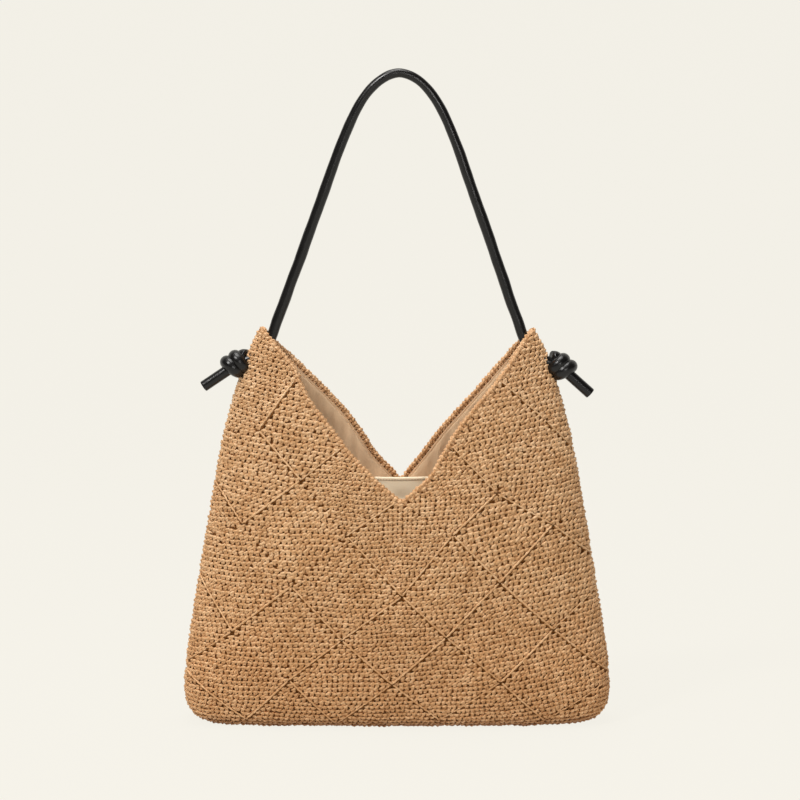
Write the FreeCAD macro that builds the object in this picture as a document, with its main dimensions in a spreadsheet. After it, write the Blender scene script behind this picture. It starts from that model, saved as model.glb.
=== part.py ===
import FreeCAD, Part
import math
import os

import Sketcher
from FreeCAD import Placement, Rotation, Vector

# Crocheted raffia hobo bag: a patchwork of squares set on their corners, a V-shaped mouth at the front
# and the back, a canvas lining with a slip pocket, and a tubular leather strap knotted outside both tips.
# Millimetres, +Z up, +X to the right seen from the front, the front panel towards -Y. The origin is the
# middle of the flat sole that the bag stands on.

doc = FreeCAD.newDocument("hobo_bag")

# ---------------------------------------------------------------- driving dimensions

# Outline of the stuffed bag from the sole to the tips: height, half width, half depth.
SECTIONS = [
    (0, 170, 28),
    (6, 181.5, 36),
    (16, 188, 42),
    (36, 191.5, 48),
    (85, 186.5, 51.5),
    (140, 178, 50),
    (203, 167.5, 43),
    (266, 156, 34),
    (311, 143.5, 27),
    (345, 131, 22.5),
    (362, 121, 20),
]

# Corners of the crocheted squares: distances from the middle, and heights from the sole's row up.
LATTICE_COLUMNS = [0, 46.5, 93, 139.5, 194, 240]
LATTICE_ROWS = [4.5, 41, 82, 128.5, 174.5, 212, 262, 308.5]

# Half of the mouth's outline on each panel, from the point of the V to the tip: across, height.
MOUTHS = {
    "front": [(0, 208), (22, 228), (52, 264), (80, 303), (112, 348), (122, 358.5)],
    "back": [(0, 218.5), (28, 253.5), (56, 290), (82, 318), (112, 349), (122, 358.5)],
}

DIMENSIONS = {
    "wall": 4.5,  # crocheted fabric
    "below": -12,  # past the sole and past the tips, for every cutting shape
    "above": 420,
    "reach": 95,
    "edging_drop": 8,  # crocheted border, measured straight down from the mouth
    "piping_drop": 10.6,
    "lining_gap": 0.3,
    "lining_thick": 1.2,
    "lining_drop": 11,
    "pocket_face": 26.5,  # front of the pocket panel, behind the middle of the bag
    "pocket_thick": 1,
    "pocket_low": 60,
    "pocket_top": 219,
    "pocket_span": 200,
    "hem_height": 5,
    "hem_proud": 0.8,
    "magnet_radius": 8,
    "magnet_thick": 2.4,
    "magnet_round": 0.6,
    "magnet_height": 190,
    "magnet_depth": 34.2,
    "strap_radius": 4.75,
    "leather_thick": 1.2,
    "core_radius": 3.5,
    "apex_height": 598,  # corner that the top of the arch rounds
    "apex_radius": 26,
    "shoulder_span": 41,
    "shoulder_height": 557,
    "shoulder_radius": 116,
    "pivot_span": 107.1,  # where the strap bends as it swings, above each tip
    "pivot_height": 369,
    "entry_span": 109.8,  # top of the strap's fixed length, inside each tip
    "entry_height": 361.6,
    "bend_span": 117.5,
    "bend_height": 340,
    "bend_radius": 24,
    "passage_radius": 5.05,
    "knot_span": 147.5,
    "knot_height": 325.5,
    "knot_radius": 13,
    "knot_clearance": 0.3,
    "disc_gap": 0.1,  # between the pocket's cloth and its snap disc
    "tail_length": 35,
    "left_tail_angle": 34,  # below the horizontal
    "right_tail_angle": 46,
}

sheet = doc.addObject("Spreadsheet::Sheet", "Sizes")
stored = []


def store(alias, value):
    """Puts one plain number in the sheet under its alias."""
    stored.append(alias)
    place = f"A{len(stored)}"
    sheet.set(place, str(value))
    sheet.setAlias(place, alias)


for alias, value in DIMENSIONS.items():
    store(alias, value)
for k, (height, half_width, half_depth) in enumerate(SECTIONS):
    store(f"section_height_{k}", height)
    store(f"section_width_{k}", half_width)
    store(f"section_depth_{k}", half_depth)
for k, across in enumerate(LATTICE_COLUMNS):
    store(f"column_{k}", across)
for k, height in enumerate(LATTICE_ROWS):
    store(f"row_{k}", height)
for panel, mouth in MOUTHS.items():
    for k, (across, height) in enumerate(mouth):
        store(f"{panel}_mouth_across_{k}", across)
        store(f"{panel}_mouth_height_{k}", height)
doc.recompute()


def size(alias):
    """A number from the sheet."""
    return float(sheet.get(alias))


def bind(thing, **expressions):
    """Binds properties to expressions over the sheet's cells; a double underscore stands for a dot."""
    for prop, expression in expressions.items():
        thing.setExpression(prop.replace("__", "."), expression)
    return thing


# ---------------------------------------------------------------- small builders


def form(name, inset):
    """The bag's closed outer form pulled in by an expression: a loft through ellipses."""
    rings = []
    for k in range(len(SECTIONS)):
        ring = doc.addObject("Part::Ellipse", f"{name}_ring_{k}")
        bind(
            ring,
            MajorRadius=f"Sizes.section_width_{k} - ({inset})",
            MinorRadius=f"Sizes.section_depth_{k} - ({inset})",
            Placement__Base__z=f"Sizes.section_height_{k}",
        )
        rings.append(ring)
    loft = doc.addObject("Part::Loft", name)
    loft.Sections = rings
    loft.Solid = True
    loft.Ruled = False
    return loft


def block(name, low, high):
    """A box between two corners given as expressions."""
    box = doc.addObject("Part::Box", name)
    return bind(
        box,
        Length=f"({high[0]}) - ({low[0]})",
        Width=f"({high[1]}) - ({low[1]})",
        Height=f"({high[2]}) - ({low[2]})",
        Placement__Base__x=low[0],
        Placement__Base__y=low[1],
        Placement__Base__z=low[2],
    )


def boolean(kind, name, base, tool):
    """A Part boolean of two objects: Cut, Common or Fuse."""
    made = doc.addObject(f"Part::{kind}", name)
    made.Base = base
    made.Tool = tool
    return made


def group(name, members):
    """Separate solids held together as one object."""
    made = doc.addObject("Part::Compound", name)
    made.Links = members
    return made


def mirrored(name, source):
    """The same piece on the other side of the bag."""
    made = doc.addObject("Part::Mirroring", name)
    made.Source = source
    made.Normal = Vector(1, 0, 0)
    return made


def outline_prism(name, outlines):
    """Prisms along Y through closed outlines in XZ, whose corners are pairs of expressions."""
    sketch = doc.addObject("Sketcher::SketchObject", f"{name}_outline")
    sketch.Placement = Placement(Vector(0, 0, 0), Rotation(Vector(1, 0, 0), 90))
    for corners in outlines:
        points = [Vector(*(float(sheet.evalExpression(e)) for e in corner), 0) for corner in corners]
        first = sketch.GeometryCount
        count = len(points)
        for k in range(count):
            sketch.addGeometry(Part.LineSegment(points[k], points[(k + 1) % count]))
        for k in range(count):
            following = first + (k + 1) % count
            sketch.addConstraint(Sketcher.Constraint("Coincident", first + k, 2, following, 1))
        for k in range(count):
            place_point(sketch, first + k, 1, points[k], corners[k])
    prism = doc.addObject("Part::Extrusion", name)
    prism.Base = sketch
    prism.DirMode = "Custom"
    prism.Dir = Vector(0, 1, 0)
    prism.Solid = True
    return bind(prism, LengthFwd="Sizes.reach", LengthRev="Sizes.reach")


def place_point(sketch, geometry, end, point, expressions):
    """Ties one end of a sketch line to the sheet in both directions."""
    for kind, value, expression in zip(("DistanceX", "DistanceY"), point, expressions):
        k = sketch.addConstraint(Sketcher.Constraint(kind, -1, 1, geometry, end, value))
        sketch.setExpression(f"Constraints[{k}]", expression)


def both_sides(corners):
    """An outline on the right and its mirror image on the left."""
    return [corners, [(f"-({across})", height) for across, height in corners]]


def mouth_prism(name, panel, drop):
    """Everything above a panel's mouth after it is lowered by an expression."""
    count = len(MOUTHS[panel])
    height = f"Sizes.{panel}_mouth_height_"
    right = [(f"Sizes.{panel}_mouth_across_{k}", f"{height}{k} - ({drop})") for k in range(count)]
    right.append(("Sizes.column_4", f"{height}{count - 1} - ({drop})"))
    right.append(("Sizes.column_4", "Sizes.above"))
    left = [(f"-({across})", rise) for across, rise in reversed(right[1:])]
    return outline_prism(name, [right + left])


parts = []


def finish(thing, node):
    """Names a sub-part after its node."""
    thing.Label = node
    parts.append(thing)
    return thing


# ---------------------------------------------------------------- crocheted shell

outer = form("outer_form", "0")
inner = form("inner_form", "Sizes.wall")
shell = boolean("Cut", "whole_shell", outer, inner)

HALVES = {
    "front": block(
        "front_space",
        ("-Sizes.column_5", "-Sizes.reach", "Sizes.below"),
        ("Sizes.column_5", "0 * Sizes.reach", "Sizes.above"),
    ),
    "back": block(
        "back_space",
        ("-Sizes.column_5", "0 * Sizes.reach", "Sizes.below"),
        ("Sizes.column_5", "Sizes.reach", "Sizes.above"),
    ),
}


# ---------------------------------------------------------------- strap route inside the tips


def route_sketch(name, corners, radii):
    """A route in XZ of straight runs joined by tangent arcs, through corners given as expressions."""
    points = [Vector(*(float(sheet.evalExpression(e)) for e in corner), 0) for corner in corners]
    sketch = doc.addObject("Sketcher::SketchObject", name)
    sketch.Placement = Placement(Vector(0, 0, 0), Rotation(Vector(1, 0, 0), 90))
    starts = [points[0]]
    arcs = []
    for before, corner, after, radius in zip(points, points[1:], points[2:], radii):
        arc = rounded_corner(before, corner, after, size(radius))
        arcs.append(arc)
        starts.append(arc[2])
    finishes = [arc[0] for arc in arcs] + [points[-1]]
    runs = []
    for k, (start, end) in enumerate(zip(starts, finishes)):
        runs.append(sketch.addGeometry(Part.LineSegment(start, end)))
        if k < len(arcs):
            sketch.addGeometry(Part.Arc(*arcs[k]))
    place_point(sketch, runs[0], 1, points[0], corners[0])
    place_point(sketch, runs[-1], 2, points[-1], corners[-1])
    for k, (run, following) in enumerate(zip(runs, runs[1:])):
        bend = run + 1
        first, last = arc_ends(sketch, bend, arcs[k][0])
        entering = sketch.addGeometry(Part.LineSegment(arcs[k][0], points[k + 1]), True)
        leaving = sketch.addGeometry(Part.LineSegment(points[k + 1], arcs[k][2]), True)
        for constraint in (
            Sketcher.Constraint("Tangent", run, 2, bend, first),
            Sketcher.Constraint("Tangent", bend, last, following, 1),
            Sketcher.Constraint("Coincident", entering, 1, run, 2),
            Sketcher.Constraint("Coincident", entering, 2, leaving, 1),
            Sketcher.Constraint("Coincident", leaving, 2, following, 1),
            Sketcher.Constraint("Parallel", entering, run),
            Sketcher.Constraint("Parallel", leaving, following),
        ):
            sketch.addConstraint(constraint)
        place_point(sketch, entering, 2, points[k + 1], corners[k + 1])
        place = sketch.addConstraint(Sketcher.Constraint("Radius", bend, size(radii[k])))
        sketch.setExpression(f"Constraints[{place}]", f"Sizes.{radii[k]}")
    return sketch


def rounded_corner(before, corner, after, radius):
    """Start, middle and end of the arc that rounds a corner."""
    inward = (corner - before).normalize()
    outward = (after - corner).normalize()
    half_turn = inward.getAngle(outward) / 2
    tangent = radius * math.tan(half_turn)
    towards = (outward - inward).normalize()
    middle = corner + towards * (radius / math.cos(half_turn) - radius)
    return corner - inward * tangent, middle, corner + outward * tangent


def arc_ends(sketch, geometry, start):
    """Which end of an arc lies at a point, then the other: 1 is its start and 2 its end."""
    near = (sketch.Geometry[geometry].StartPoint - start).Length
    return (1, 2) if near < 0.01 else (2, 1)


def swept(name, route, start, radius):
    """A round bar of one radius along a route, from the route's first point."""
    ring = doc.addObject("Part::Circle", f"{name}_ring")
    first = route.Geometry[0]
    run = first.EndPoint - first.StartPoint
    ring.Placement = Placement(Vector(0, 0, 0), Rotation(Vector(0, 0, 1), Vector(run.x, 0, run.y)))
    bind(
        ring,
        Radius=radius,
        Placement__Base__x=start[0],
        Placement__Base__z=start[1],
    )
    sweep = doc.addObject("Part::Sweep", name)
    sweep.Sections = [ring]
    sweep.Spine = (route, [f"Edge{k + 1}" for k in range(len(route.Shape.Edges))])
    sweep.Solid = True
    sweep.Frenet = False
    return sweep


ENTRY = [
    ("Sizes.entry_span", "Sizes.entry_height"),
    ("Sizes.bend_span", "Sizes.bend_height"),
    ("Sizes.knot_span", "Sizes.knot_height"),
]
ARCH = [
    ("Sizes.pivot_span", "Sizes.pivot_height"),
    ("Sizes.shoulder_span", "Sizes.shoulder_height"),
    ("0 * Sizes.shoulder_span", "Sizes.apex_height"),
    ("-Sizes.shoulder_span", "Sizes.shoulder_height"),
    ("-Sizes.pivot_span", "Sizes.pivot_height"),
]
entry = route_sketch("entry_route", ENTRY, ["bend_radius"])
doc.recompute()
passage = swept("right_passage", entry, ENTRY[0], "Sizes.passage_radius")
passages = group("passages", [passage, mirrored("left_passage", passage)])

# ---------------------------------------------------------------- crocheted squares, edging and sole

# Each square is named by its row, counted from the sole, and by its place across the row.
SQUARES = [
    (1, 0, "row1_middle"),
    (1, 2, "row1_inner"),
    (1, 4, "row1_outer"),
    (2, 1, "row2_inner"),
    (2, 3, "row2_outer"),
    (3, 0, "row3_middle"),
    (3, 2, "row3_inner"),
    (3, 4, "row3_outer"),
    (4, 1, "row4_inner"),
    (4, 3, "row4_outer"),
    (5, 0, "row5_middle"),
    (5, 2, "row5_inner"),
    (5, 4, "row5_outer"),
    (6, 1, "row6_inner"),
    (6, 3, "row6_outer"),
    (7, 2, "row7"),
]


def column(k):
    """Distance of a lattice column from the middle, as an expression."""
    return f"-Sizes.column_{-k}" if k < 0 else f"Sizes.column_{k}"


def row(k):
    """Height of a lattice row, as an expression; rows count from 1."""
    return f"Sizes.row_{k - 1}"


def square_corners(level, across):
    """A square's corners. The lowest squares run straight down to the sole."""
    top = (column(across), row(level + 1))
    right = (column(across + 1), row(level))
    left = (column(across - 1), row(level))
    if level == 1:
        return [top, right, (right[0], "Sizes.below"), (left[0], "Sizes.below"), left]
    return [top, right, (column(across), row(level - 1)), left]


prisms = {}
for level, across, place in SQUARES:
    corners = square_corners(level, across)
    outlines = [corners] if across == 0 else both_sides(corners)
    prisms[f"squares_{place}"] = outline_prism(f"prism_{place}", outlines)
tip_corners = [
    (column(1), row(7)),
    (column(2), row(8)),
    (column(3), row(7)),
    (column(4), row(6)),
    (column(5), row(6)),
    (column(5), "Sizes.above"),
    (column(1), "Sizes.above"),
]
prisms["tips"] = outline_prism("prism_tips", both_sides(tip_corners))

right_space = block(
    "right_space",
    ("0 * Sizes.reach", "-Sizes.reach", "Sizes.below"),
    ("Sizes.column_5", "Sizes.reach", "Sizes.above"),
)
left_space = mirrored("left_space", right_space)

walls = {}
for panel, half in HALVES.items():
    side = boolean("Common", f"{panel}_side", shell, half)
    opened = boolean("Cut", f"{panel}_opened", side, mouth_prism(f"{panel}_mouth", panel, "0"))
    pierced = boolean("Cut", f"{panel}_pierced", opened, passages)
    below_edging = mouth_prism(f"{panel}_below_edging", panel, "Sizes.edging_drop")
    patchwork = boolean("Cut", f"{panel}_patchwork", pierced, below_edging)
    for place, prism in prisms.items():
        finish(boolean("Common", f"{panel}_{place}", patchwork, prism), f"{panel}_{place}")
    border = boolean("Common", f"{panel}_border", pierced, below_edging)
    halves = [
        boolean("Common", f"{panel}_border_{hand}", border, space)
        for hand, space in (("right", right_space), ("left", left_space))
    ]
    finish(group(f"{panel}_edging", halves), f"{panel}_mouth_edging")

sole_space = block(
    "sole_space",
    ("-Sizes.column_5", "-Sizes.reach", "0 * Sizes.wall"),
    ("Sizes.column_5", "Sizes.reach", "Sizes.wall"),
)
finish(boolean("Common", "sole", inner, sole_space), "sole_panel")

# ---------------------------------------------------------------- lining, piping and slip pocket

lining_outer = form("lining_outer_form", "Sizes.wall + Sizes.lining_gap")
lining_inner = form("lining_inner_form", "Sizes.wall + Sizes.lining_gap + Sizes.lining_thick")
sole_top = "Sizes.wall + Sizes.lining_gap"
upper_space = block(
    "upper_space",
    ("-Sizes.column_5", "-Sizes.reach", sole_top),
    ("Sizes.column_5", "Sizes.reach", "Sizes.above"),
)
lining_tube = boolean("Cut", "lining_tube", lining_outer, lining_inner)
lining_wall = boolean("Common", "lining_wall", lining_tube, upper_space)
for panel, half in HALVES.items():
    side = boolean("Common", f"{panel}_lining_side", lining_wall, half)
    pierced = boolean("Cut", f"{panel}_lining_pierced", side, passages)
    above_lining = mouth_prism(f"{panel}_above_lining", panel, "Sizes.lining_drop")
    finish(boolean("Cut", f"{panel}_lining", pierced, above_lining), f"{panel}_lining")
    above_piping = mouth_prism(f"{panel}_above_piping", panel, "Sizes.edging_drop")
    trimmed = boolean("Cut", f"{panel}_piping_trimmed", pierced, above_piping)
    above_piping_foot = mouth_prism(f"{panel}_above_piping_foot", panel, "Sizes.piping_drop")
    finish(boolean("Common", f"{panel}_piping", trimmed, above_piping_foot), f"{panel}_piping")

lining_floor = block(
    "lining_floor",
    ("-Sizes.column_5", "-Sizes.reach", sole_top),
    ("Sizes.column_5", "Sizes.reach", f"{sole_top} + Sizes.lining_thick"),
)
finish(boolean("Common", "sole_lining", lining_inner, lining_floor), "sole_lining")

pocket_space = block(
    "pocket_space",
    ("-Sizes.pocket_span / 2", "Sizes.pocket_face", "Sizes.pocket_low"),
    (
        "Sizes.pocket_span / 2",
        "Sizes.pocket_face + Sizes.pocket_thick",
        "Sizes.pocket_top - Sizes.hem_height",
    ),
)
finish(boolean("Common", "pocket_panel", lining_inner, pocket_space), "pocket_panel")
fold_space = block(
    "fold_space",
    (
        "-Sizes.pocket_span / 2",
        "Sizes.pocket_face + Sizes.pocket_thick",
        "Sizes.pocket_low",
    ),
    ("Sizes.pocket_span / 2", "Sizes.reach", "Sizes.pocket_low + Sizes.pocket_thick"),
)
finish(boolean("Common", "pocket_fold", lining_inner, fold_space), "pocket_fold")
hem_space = block(
    "hem_space",
    (
        "-Sizes.pocket_span / 2",
        "Sizes.pocket_face - Sizes.hem_proud",
        "Sizes.pocket_top - Sizes.hem_height",
    ),
    ("Sizes.pocket_span / 2", "Sizes.pocket_face + Sizes.pocket_thick", "Sizes.pocket_top"),
)
finish(boolean("Common", "pocket_hem", lining_inner, hem_space), "pocket_hem")

# ---------------------------------------------------------------- snap discs


def origin_plane(body, role):
    """One of a body's own origin planes."""
    return next(item for item in body.Origin.OriginFeatures if item.Role == role)


def body_sketch(body, name, role):
    """A sketch on one of a body's own origin planes."""
    sketch = body.newObject("Sketcher::SketchObject", name)
    sketch.AttachmentSupport = (origin_plane(body, role), [""])
    sketch.MapMode = "FlatFace"
    return sketch


def snap_disc(node, depth):
    """A round magnet with a softened rim, flat against the inside of the lining."""
    body = doc.addObject("PartDesign::Body", node)
    sketch = body_sketch(body, f"{node}_circle", "XZ_Plane")
    centre = Vector(0, 0, 0)
    sketch.addGeometry(Part.Circle(centre, Vector(0, 0, 1), size("magnet_radius")))
    sketch.addConstraint(Sketcher.Constraint("Coincident", 0, 3, -1, 1))
    k = sketch.addConstraint(Sketcher.Constraint("Radius", 0, size("magnet_radius")))
    sketch.setExpression(f"Constraints[{k}]", "Sizes.magnet_radius")
    pad = body.newObject("PartDesign::Pad", f"{node}_pad")
    pad.Profile = sketch
    pad.Midplane = True
    bind(pad, Length="Sizes.magnet_thick")
    doc.recompute()
    rim = [f"Edge{k + 1}" for k, edge in enumerate(pad.Shape.Edges) if len(edge.Vertexes) == 1]
    fillet = body.newObject("PartDesign::Fillet", f"{node}_rim")
    fillet.Base = (pad, rim)
    bind(fillet, Radius="Sizes.magnet_round")
    bind(body, Placement__Base__y=depth, Placement__Base__z="Sizes.magnet_height")
    return finish(body, node)


snap_disc("front_snap_disc", "-Sizes.magnet_depth")
snap_disc("pocket_snap_disc", "Sizes.pocket_face - Sizes.magnet_thick / 2 - Sizes.disc_gap")

# ---------------------------------------------------------------- strap


arch = route_sketch("arch_route", ARCH, ["shoulder_radius", "apex_radius", "shoulder_radius"])
doc.recompute()
arch_bar = swept("arch_bar", arch, ARCH[0], "Sizes.strap_radius")
arch_bore = swept("arch_bore", arch, ARCH[0], "Sizes.strap_radius - Sizes.leather_thick")
finish(boolean("Cut", "arch_tube", arch_bar, arch_bore), "strap_leather")
finish(swept("arch_core", arch, ARCH[0], "Sizes.core_radius"), "strap_core")

# ---------------------------------------------------------------- strap ends and knots

grown = form("clear_form", "-Sizes.knot_clearance")
end_bar = swept("right_end_bar", entry, ENTRY[0], "Sizes.strap_radius")
end_bore = swept("right_end_bore", entry, ENTRY[0], "Sizes.strap_radius - Sizes.leather_thick")
end_core = swept("right_end_core", entry, ENTRY[0], "Sizes.core_radius")
end_tube = boolean("Cut", "right_end_tube", end_bar, end_bore)

ball = doc.addObject("Part::Sphere", "right_ball")
bind(
    ball,
    Radius="Sizes.knot_radius",
    Placement__Base__x="Sizes.knot_span",
    Placement__Base__z="Sizes.knot_height",
)
bore = doc.addObject("Part::Cylinder", "right_knot_bore")
bore.Placement = Placement(Vector(0, 0, 0), Rotation(Vector(0, -1, 0), 60))
bind(
    bore,
    Radius="Sizes.passage_radius",
    Height="1.2 * Sizes.knot_radius",
    Placement__Base__x="Sizes.knot_span",
    Placement__Base__z="Sizes.knot_height",
    Placement__Rotation__Angle="atan2(Sizes.knot_span - Sizes.bend_span; Sizes.bend_height - Sizes.knot_height)",
)
right_knot = boolean("Cut", "right_knot", boolean("Cut", "right_ball_bored", ball, bore), grown)
finish(right_knot, "right_knot")
finish(mirrored("left_knot", right_knot), "left_knot")
balls = {"right": ball, "left": mirrored("left_ball", ball)}
for hand, sign in (("right", 1), ("left", -1)):
    tail = doc.addObject("Part::Cylinder", f"{hand}_tail_bar")
    tail.Placement = Placement(Vector(0, 0, 0), Rotation(Vector(0, sign, 0), 90))
    bind(
        tail,
        Radius="Sizes.strap_radius",
        Height="Sizes.tail_length",
        Placement__Base__x=f"{sign} * Sizes.knot_span",
        Placement__Base__z="Sizes.knot_height",
        Placement__Rotation__Angle=f"90 + Sizes.{hand}_tail_angle",
    )
    finish(boolean("Cut", f"{hand}_tail", tail, balls[hand]), f"{hand}_strap_tail")

for node, solid in (("strap_end_leather", end_tube), ("strap_end_core", end_core)):
    finish(group(f"{node}_pair", [solid, mirrored(f"{node}_left", solid)]), node)

# ---------------------------------------------------------------- check and write

doc.recompute()
failed = [item.Name for item in doc.Objects if "Invalid" in item.State or "Error" in item.State]
if failed:
    raise RuntimeError(f"failed objects: {failed}")
for piece in parts:
    if piece.Shape.isNull() or not piece.Shape.isValid() or not piece.Shape.Solids:
        raise RuntimeError(f"{piece.Label} has no valid solid")

os.makedirs("parts", exist_ok=True)
for piece in parts:
    piece.Shape.exportStep(f"parts/{piece.Label}.step")
    print(f"{piece.Label}: {len(piece.Shape.Solids)} solids, {piece.Shape.Volume / 1000:.2f} cm3")
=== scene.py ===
import math

import bpy
import numpy as np
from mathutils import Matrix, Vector


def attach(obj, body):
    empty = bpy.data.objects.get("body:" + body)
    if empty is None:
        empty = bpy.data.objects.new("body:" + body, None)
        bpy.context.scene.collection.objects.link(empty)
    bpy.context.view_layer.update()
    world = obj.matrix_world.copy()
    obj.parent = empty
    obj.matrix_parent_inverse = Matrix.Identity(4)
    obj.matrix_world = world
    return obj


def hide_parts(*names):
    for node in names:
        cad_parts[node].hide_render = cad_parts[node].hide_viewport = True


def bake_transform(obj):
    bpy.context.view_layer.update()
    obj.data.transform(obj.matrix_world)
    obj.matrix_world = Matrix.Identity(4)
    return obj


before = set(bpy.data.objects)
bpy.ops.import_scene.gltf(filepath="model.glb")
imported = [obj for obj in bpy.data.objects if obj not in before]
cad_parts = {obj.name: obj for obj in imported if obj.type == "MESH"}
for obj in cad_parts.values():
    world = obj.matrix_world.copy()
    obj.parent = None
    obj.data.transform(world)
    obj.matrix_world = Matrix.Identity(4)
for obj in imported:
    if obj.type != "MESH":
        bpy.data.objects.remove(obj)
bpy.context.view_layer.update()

# Crocheted raffia hobo bag. Lengths are in millimetres until a mesh is made, which is in metres.

MM = 0.001
rng = np.random.default_rng(20)

# ---------------------------------------------------------------- outline of the stuffed bag

# Height, half width and half depth of the bag, from the sole to the tips.
SECTIONS = np.array(
    [
        (0, 168, 28), (4, 179, 34), (9, 185.5, 38.5), (16, 190, 42), (26, 192.5, 46), (40, 193, 48.5),
        (85, 187.8, 51.5), (140, 178.8, 50), (203, 168, 43), (266, 156, 34), (311, 143.5, 27), (345, 131, 22.5), (362, 121, 20),
        (368, 116.5, 18.6),
    ],
    float,
)
TOP = 368  # height of the last section
WALL = 4.5  # thickness of the crochet

# Mouth on each panel: across and height, left tip to right tip, at the top of the crocheted border.
FRONT_MOUTH = np.array(
    [
        (-122.5, 361), (-117, 355), (-110.7, 348), (-100, 336.5), (-91, 326), (-85.5, 313), (-75, 294), (-59.4, 274.5),
        (-42, 252), (-20, 229.5), (-9, 219.5), (0, 212), (4, 209.8), (9, 213), (18, 221), (28.8, 231),
        (39.6, 248.5), (50.9, 267.5), (67.5, 289.5), (86.4, 311), (100.4, 329), (111.6, 347), (117, 354),
        (122.5, 359.5),
    ],
    float,
)
BACK_MOUTH = np.array(
    [
        (-122.5, 360.5), (-112, 349.5), (-97.2, 335.9), (-79.2, 317.5), (-60.3, 298), (-44, 279.5), (-31.5, 261.5),
        (-19.8, 242.8), (-3.6, 225), (3, 217.5), (9.5, 225.5), (23.4, 242.8), (36.9, 261.5), (52.2, 279.5),
        (68.4, 298), (84.6, 317.5), (99.9, 335.9), (112, 349.5), (122.5, 359),
    ],
    float,
)
MOUTHS = {-1: FRONT_MOUTH, 1: BACK_MOUTH}
EDGING = 5.2  # width of the crocheted border

# Lattice of the squares' corners: columns from the middle and rows from the sole.
COLUMNS = {0: 0, 1: 46.5, 2: 93, 3: 139.5, 4: 194, 5: 240}
ROWS = {0: -36, 1: 4.5, 2: 41, 3: 82, 4: 128.5, 5: 174.5, 6: 212, 7: 262, 8: 308.5}

# Where hand sewing has pulled the corners of the front panel off the even lattice: across, up.
CORNER_SHIFTS = {
    (0, 6): (1.5, -3), (-2, 6): (7, 14), (2, 6): (-4, 2.5), (-1, 5): (1.5, 3), (1, 5): (3.5, 4), (-3, 5): (1, 11),
    (3, 5): (0.5, 10), (0, 4): (4.5, -4.5), (-2, 4): (-1.5, 3), (2, 4): (-1, 6.5), (4, 4): (0, 9),
    (-4, 4): (0, 34), (-4, 6): (0, 53),
    (-1, 3): (-3, 1.5), (1, 3): (-2.5, 4.5), (-3, 3): (-9, 6.5), (3, 3): (1, 8.5), (0, 2): (-4.5, 2.5),
    (-2, 2): (-4, 5.5), (2, 2): (0, 4), (4, 2): (0, 3), (-4, 2): (0, 12), (-3, 1): (3.5, 3), (-1, 1): (-8.5, -1),
    (1, 1): (-8, 3), (3, 1): (-6.5, 2), (-3, 7): (15.5, 7), (3, 7): (-6.5, 16), (-2, 8): (1.5, 5), (2, 8): (0, 5),
    (-1, 7): (2, -3), (1, 7): (0, -3),
}

# How strongly each join of the front panel stands out as a ridge; the rest are drawn flush.
SEAMS = {
    ((-3, 7), (-2, 8)): 1.0, ((-3, 7), (-2, 6)): 0.8, ((-2, 6), (-3, 5)): 1.0, ((-4, 6), (-3, 5)): 0.8,
    ((-1, 5), (0, 6)): 0.6, ((-1, 5), (0, 4)): 0.6, ((-2, 4), (-3, 3)): 1.0, ((-4, 4), (-3, 3)): 0.8,
    ((-2, 4), (-1, 3)): 0.7, ((-1, 3), (0, 4)): 0.6, ((-1, 3), (0, 2)): 0.9, ((-2, 2), (-1, 3)): 0.7,
    ((-4, 2), (-3, 3)): 0.5, ((-4, 2), (-3, 1)): 0.9, ((-3, 1), (-2, 2)): 0.9, ((-2, 2), (-1, 1)): 0.9,
    ((-1, 1), (0, 2)): 0.6, ((-2, 6), (-1, 7)): 0.4, ((1, 5), (2, 6)): 1.0, ((2, 6), (3, 5)): 0.5,
    ((3, 5), (4, 4)): 0.9, ((2, 4), (3, 5)): 1.0, ((1, 5), (2, 4)): 0.9, ((0, 4), (1, 5)): 0.6,
    ((0, 4), (1, 3)): 0.7, ((1, 3), (2, 4)): 1.0, ((2, 4), (3, 3)): 1.0, ((2, 2), (3, 3)): 1.0,
    ((3, 3), (4, 2)): 0.7, ((0, 2), (1, 3)): 1.0, ((0, 2), (1, 1)): 0.8, ((1, 3), (2, 2)): 0.7,
    ((2, 2), (3, 1)): 0.9, ((1, 1), (2, 2)): 0.4, ((3, 1), (4, 2)): 0.4, ((3, 3), (4, 4)): 0.4,
    ((2, 8), (3, 7)): 0.4, ((3, 7), (4, 6)): 0.5, ((2, 6), (1, 7)): 0.4,
}

# Squares of each panel: lattice row, column from the middle, and the end of the node's name.
SQUARES = [
    (1, 0, "row1_middle"), (1, 2, "row1_inner"), (1, 4, "row1_outer"), (2, 1, "row2_inner"), (2, 3, "row2_outer"),
    (3, 0, "row3_middle"), (3, 2, "row3_inner"), (3, 4, "row3_outer"), (4, 1, "row4_inner"), (4, 3, "row4_outer"),
    (5, 0, "row5_middle"), (5, 2, "row5_inner"), (5, 4, "row5_outer"), (6, 1, "row6_inner"), (6, 3, "row6_outer"),
    (7, 2, "row7"),
]

STITCH_WIDTH = 4.8
STITCH_HEIGHT = 4.5
LOWEST = 0.05  # a yarn's lowest point above the floor


def smooth_table(knots, values, at):
    """Catmull-Rom interpolation through uneven knots."""
    slopes = np.gradient(values, knots)
    k = np.clip(np.searchsorted(knots, at, side="right") - 1, 0, len(knots) - 2)
    span = knots[k + 1] - knots[k]
    f = np.clip((at - knots[k]) / span, 0, 1)
    h00 = 2 * f**3 - 3 * f**2 + 1
    h10 = f**3 - 2 * f**2 + f
    h01 = -2 * f**3 + 3 * f**2
    h11 = f**3 - f**2
    return h00 * values[k] + h10 * span * slopes[k] + h01 * values[k + 1] + h11 * span * slopes[k + 1]


def half_width(z):
    return smooth_table(SECTIONS[:, 0], SECTIONS[:, 1], z)


def half_depth(z):
    return smooth_table(SECTIONS[:, 0], SECTIONS[:, 2], z)


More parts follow.
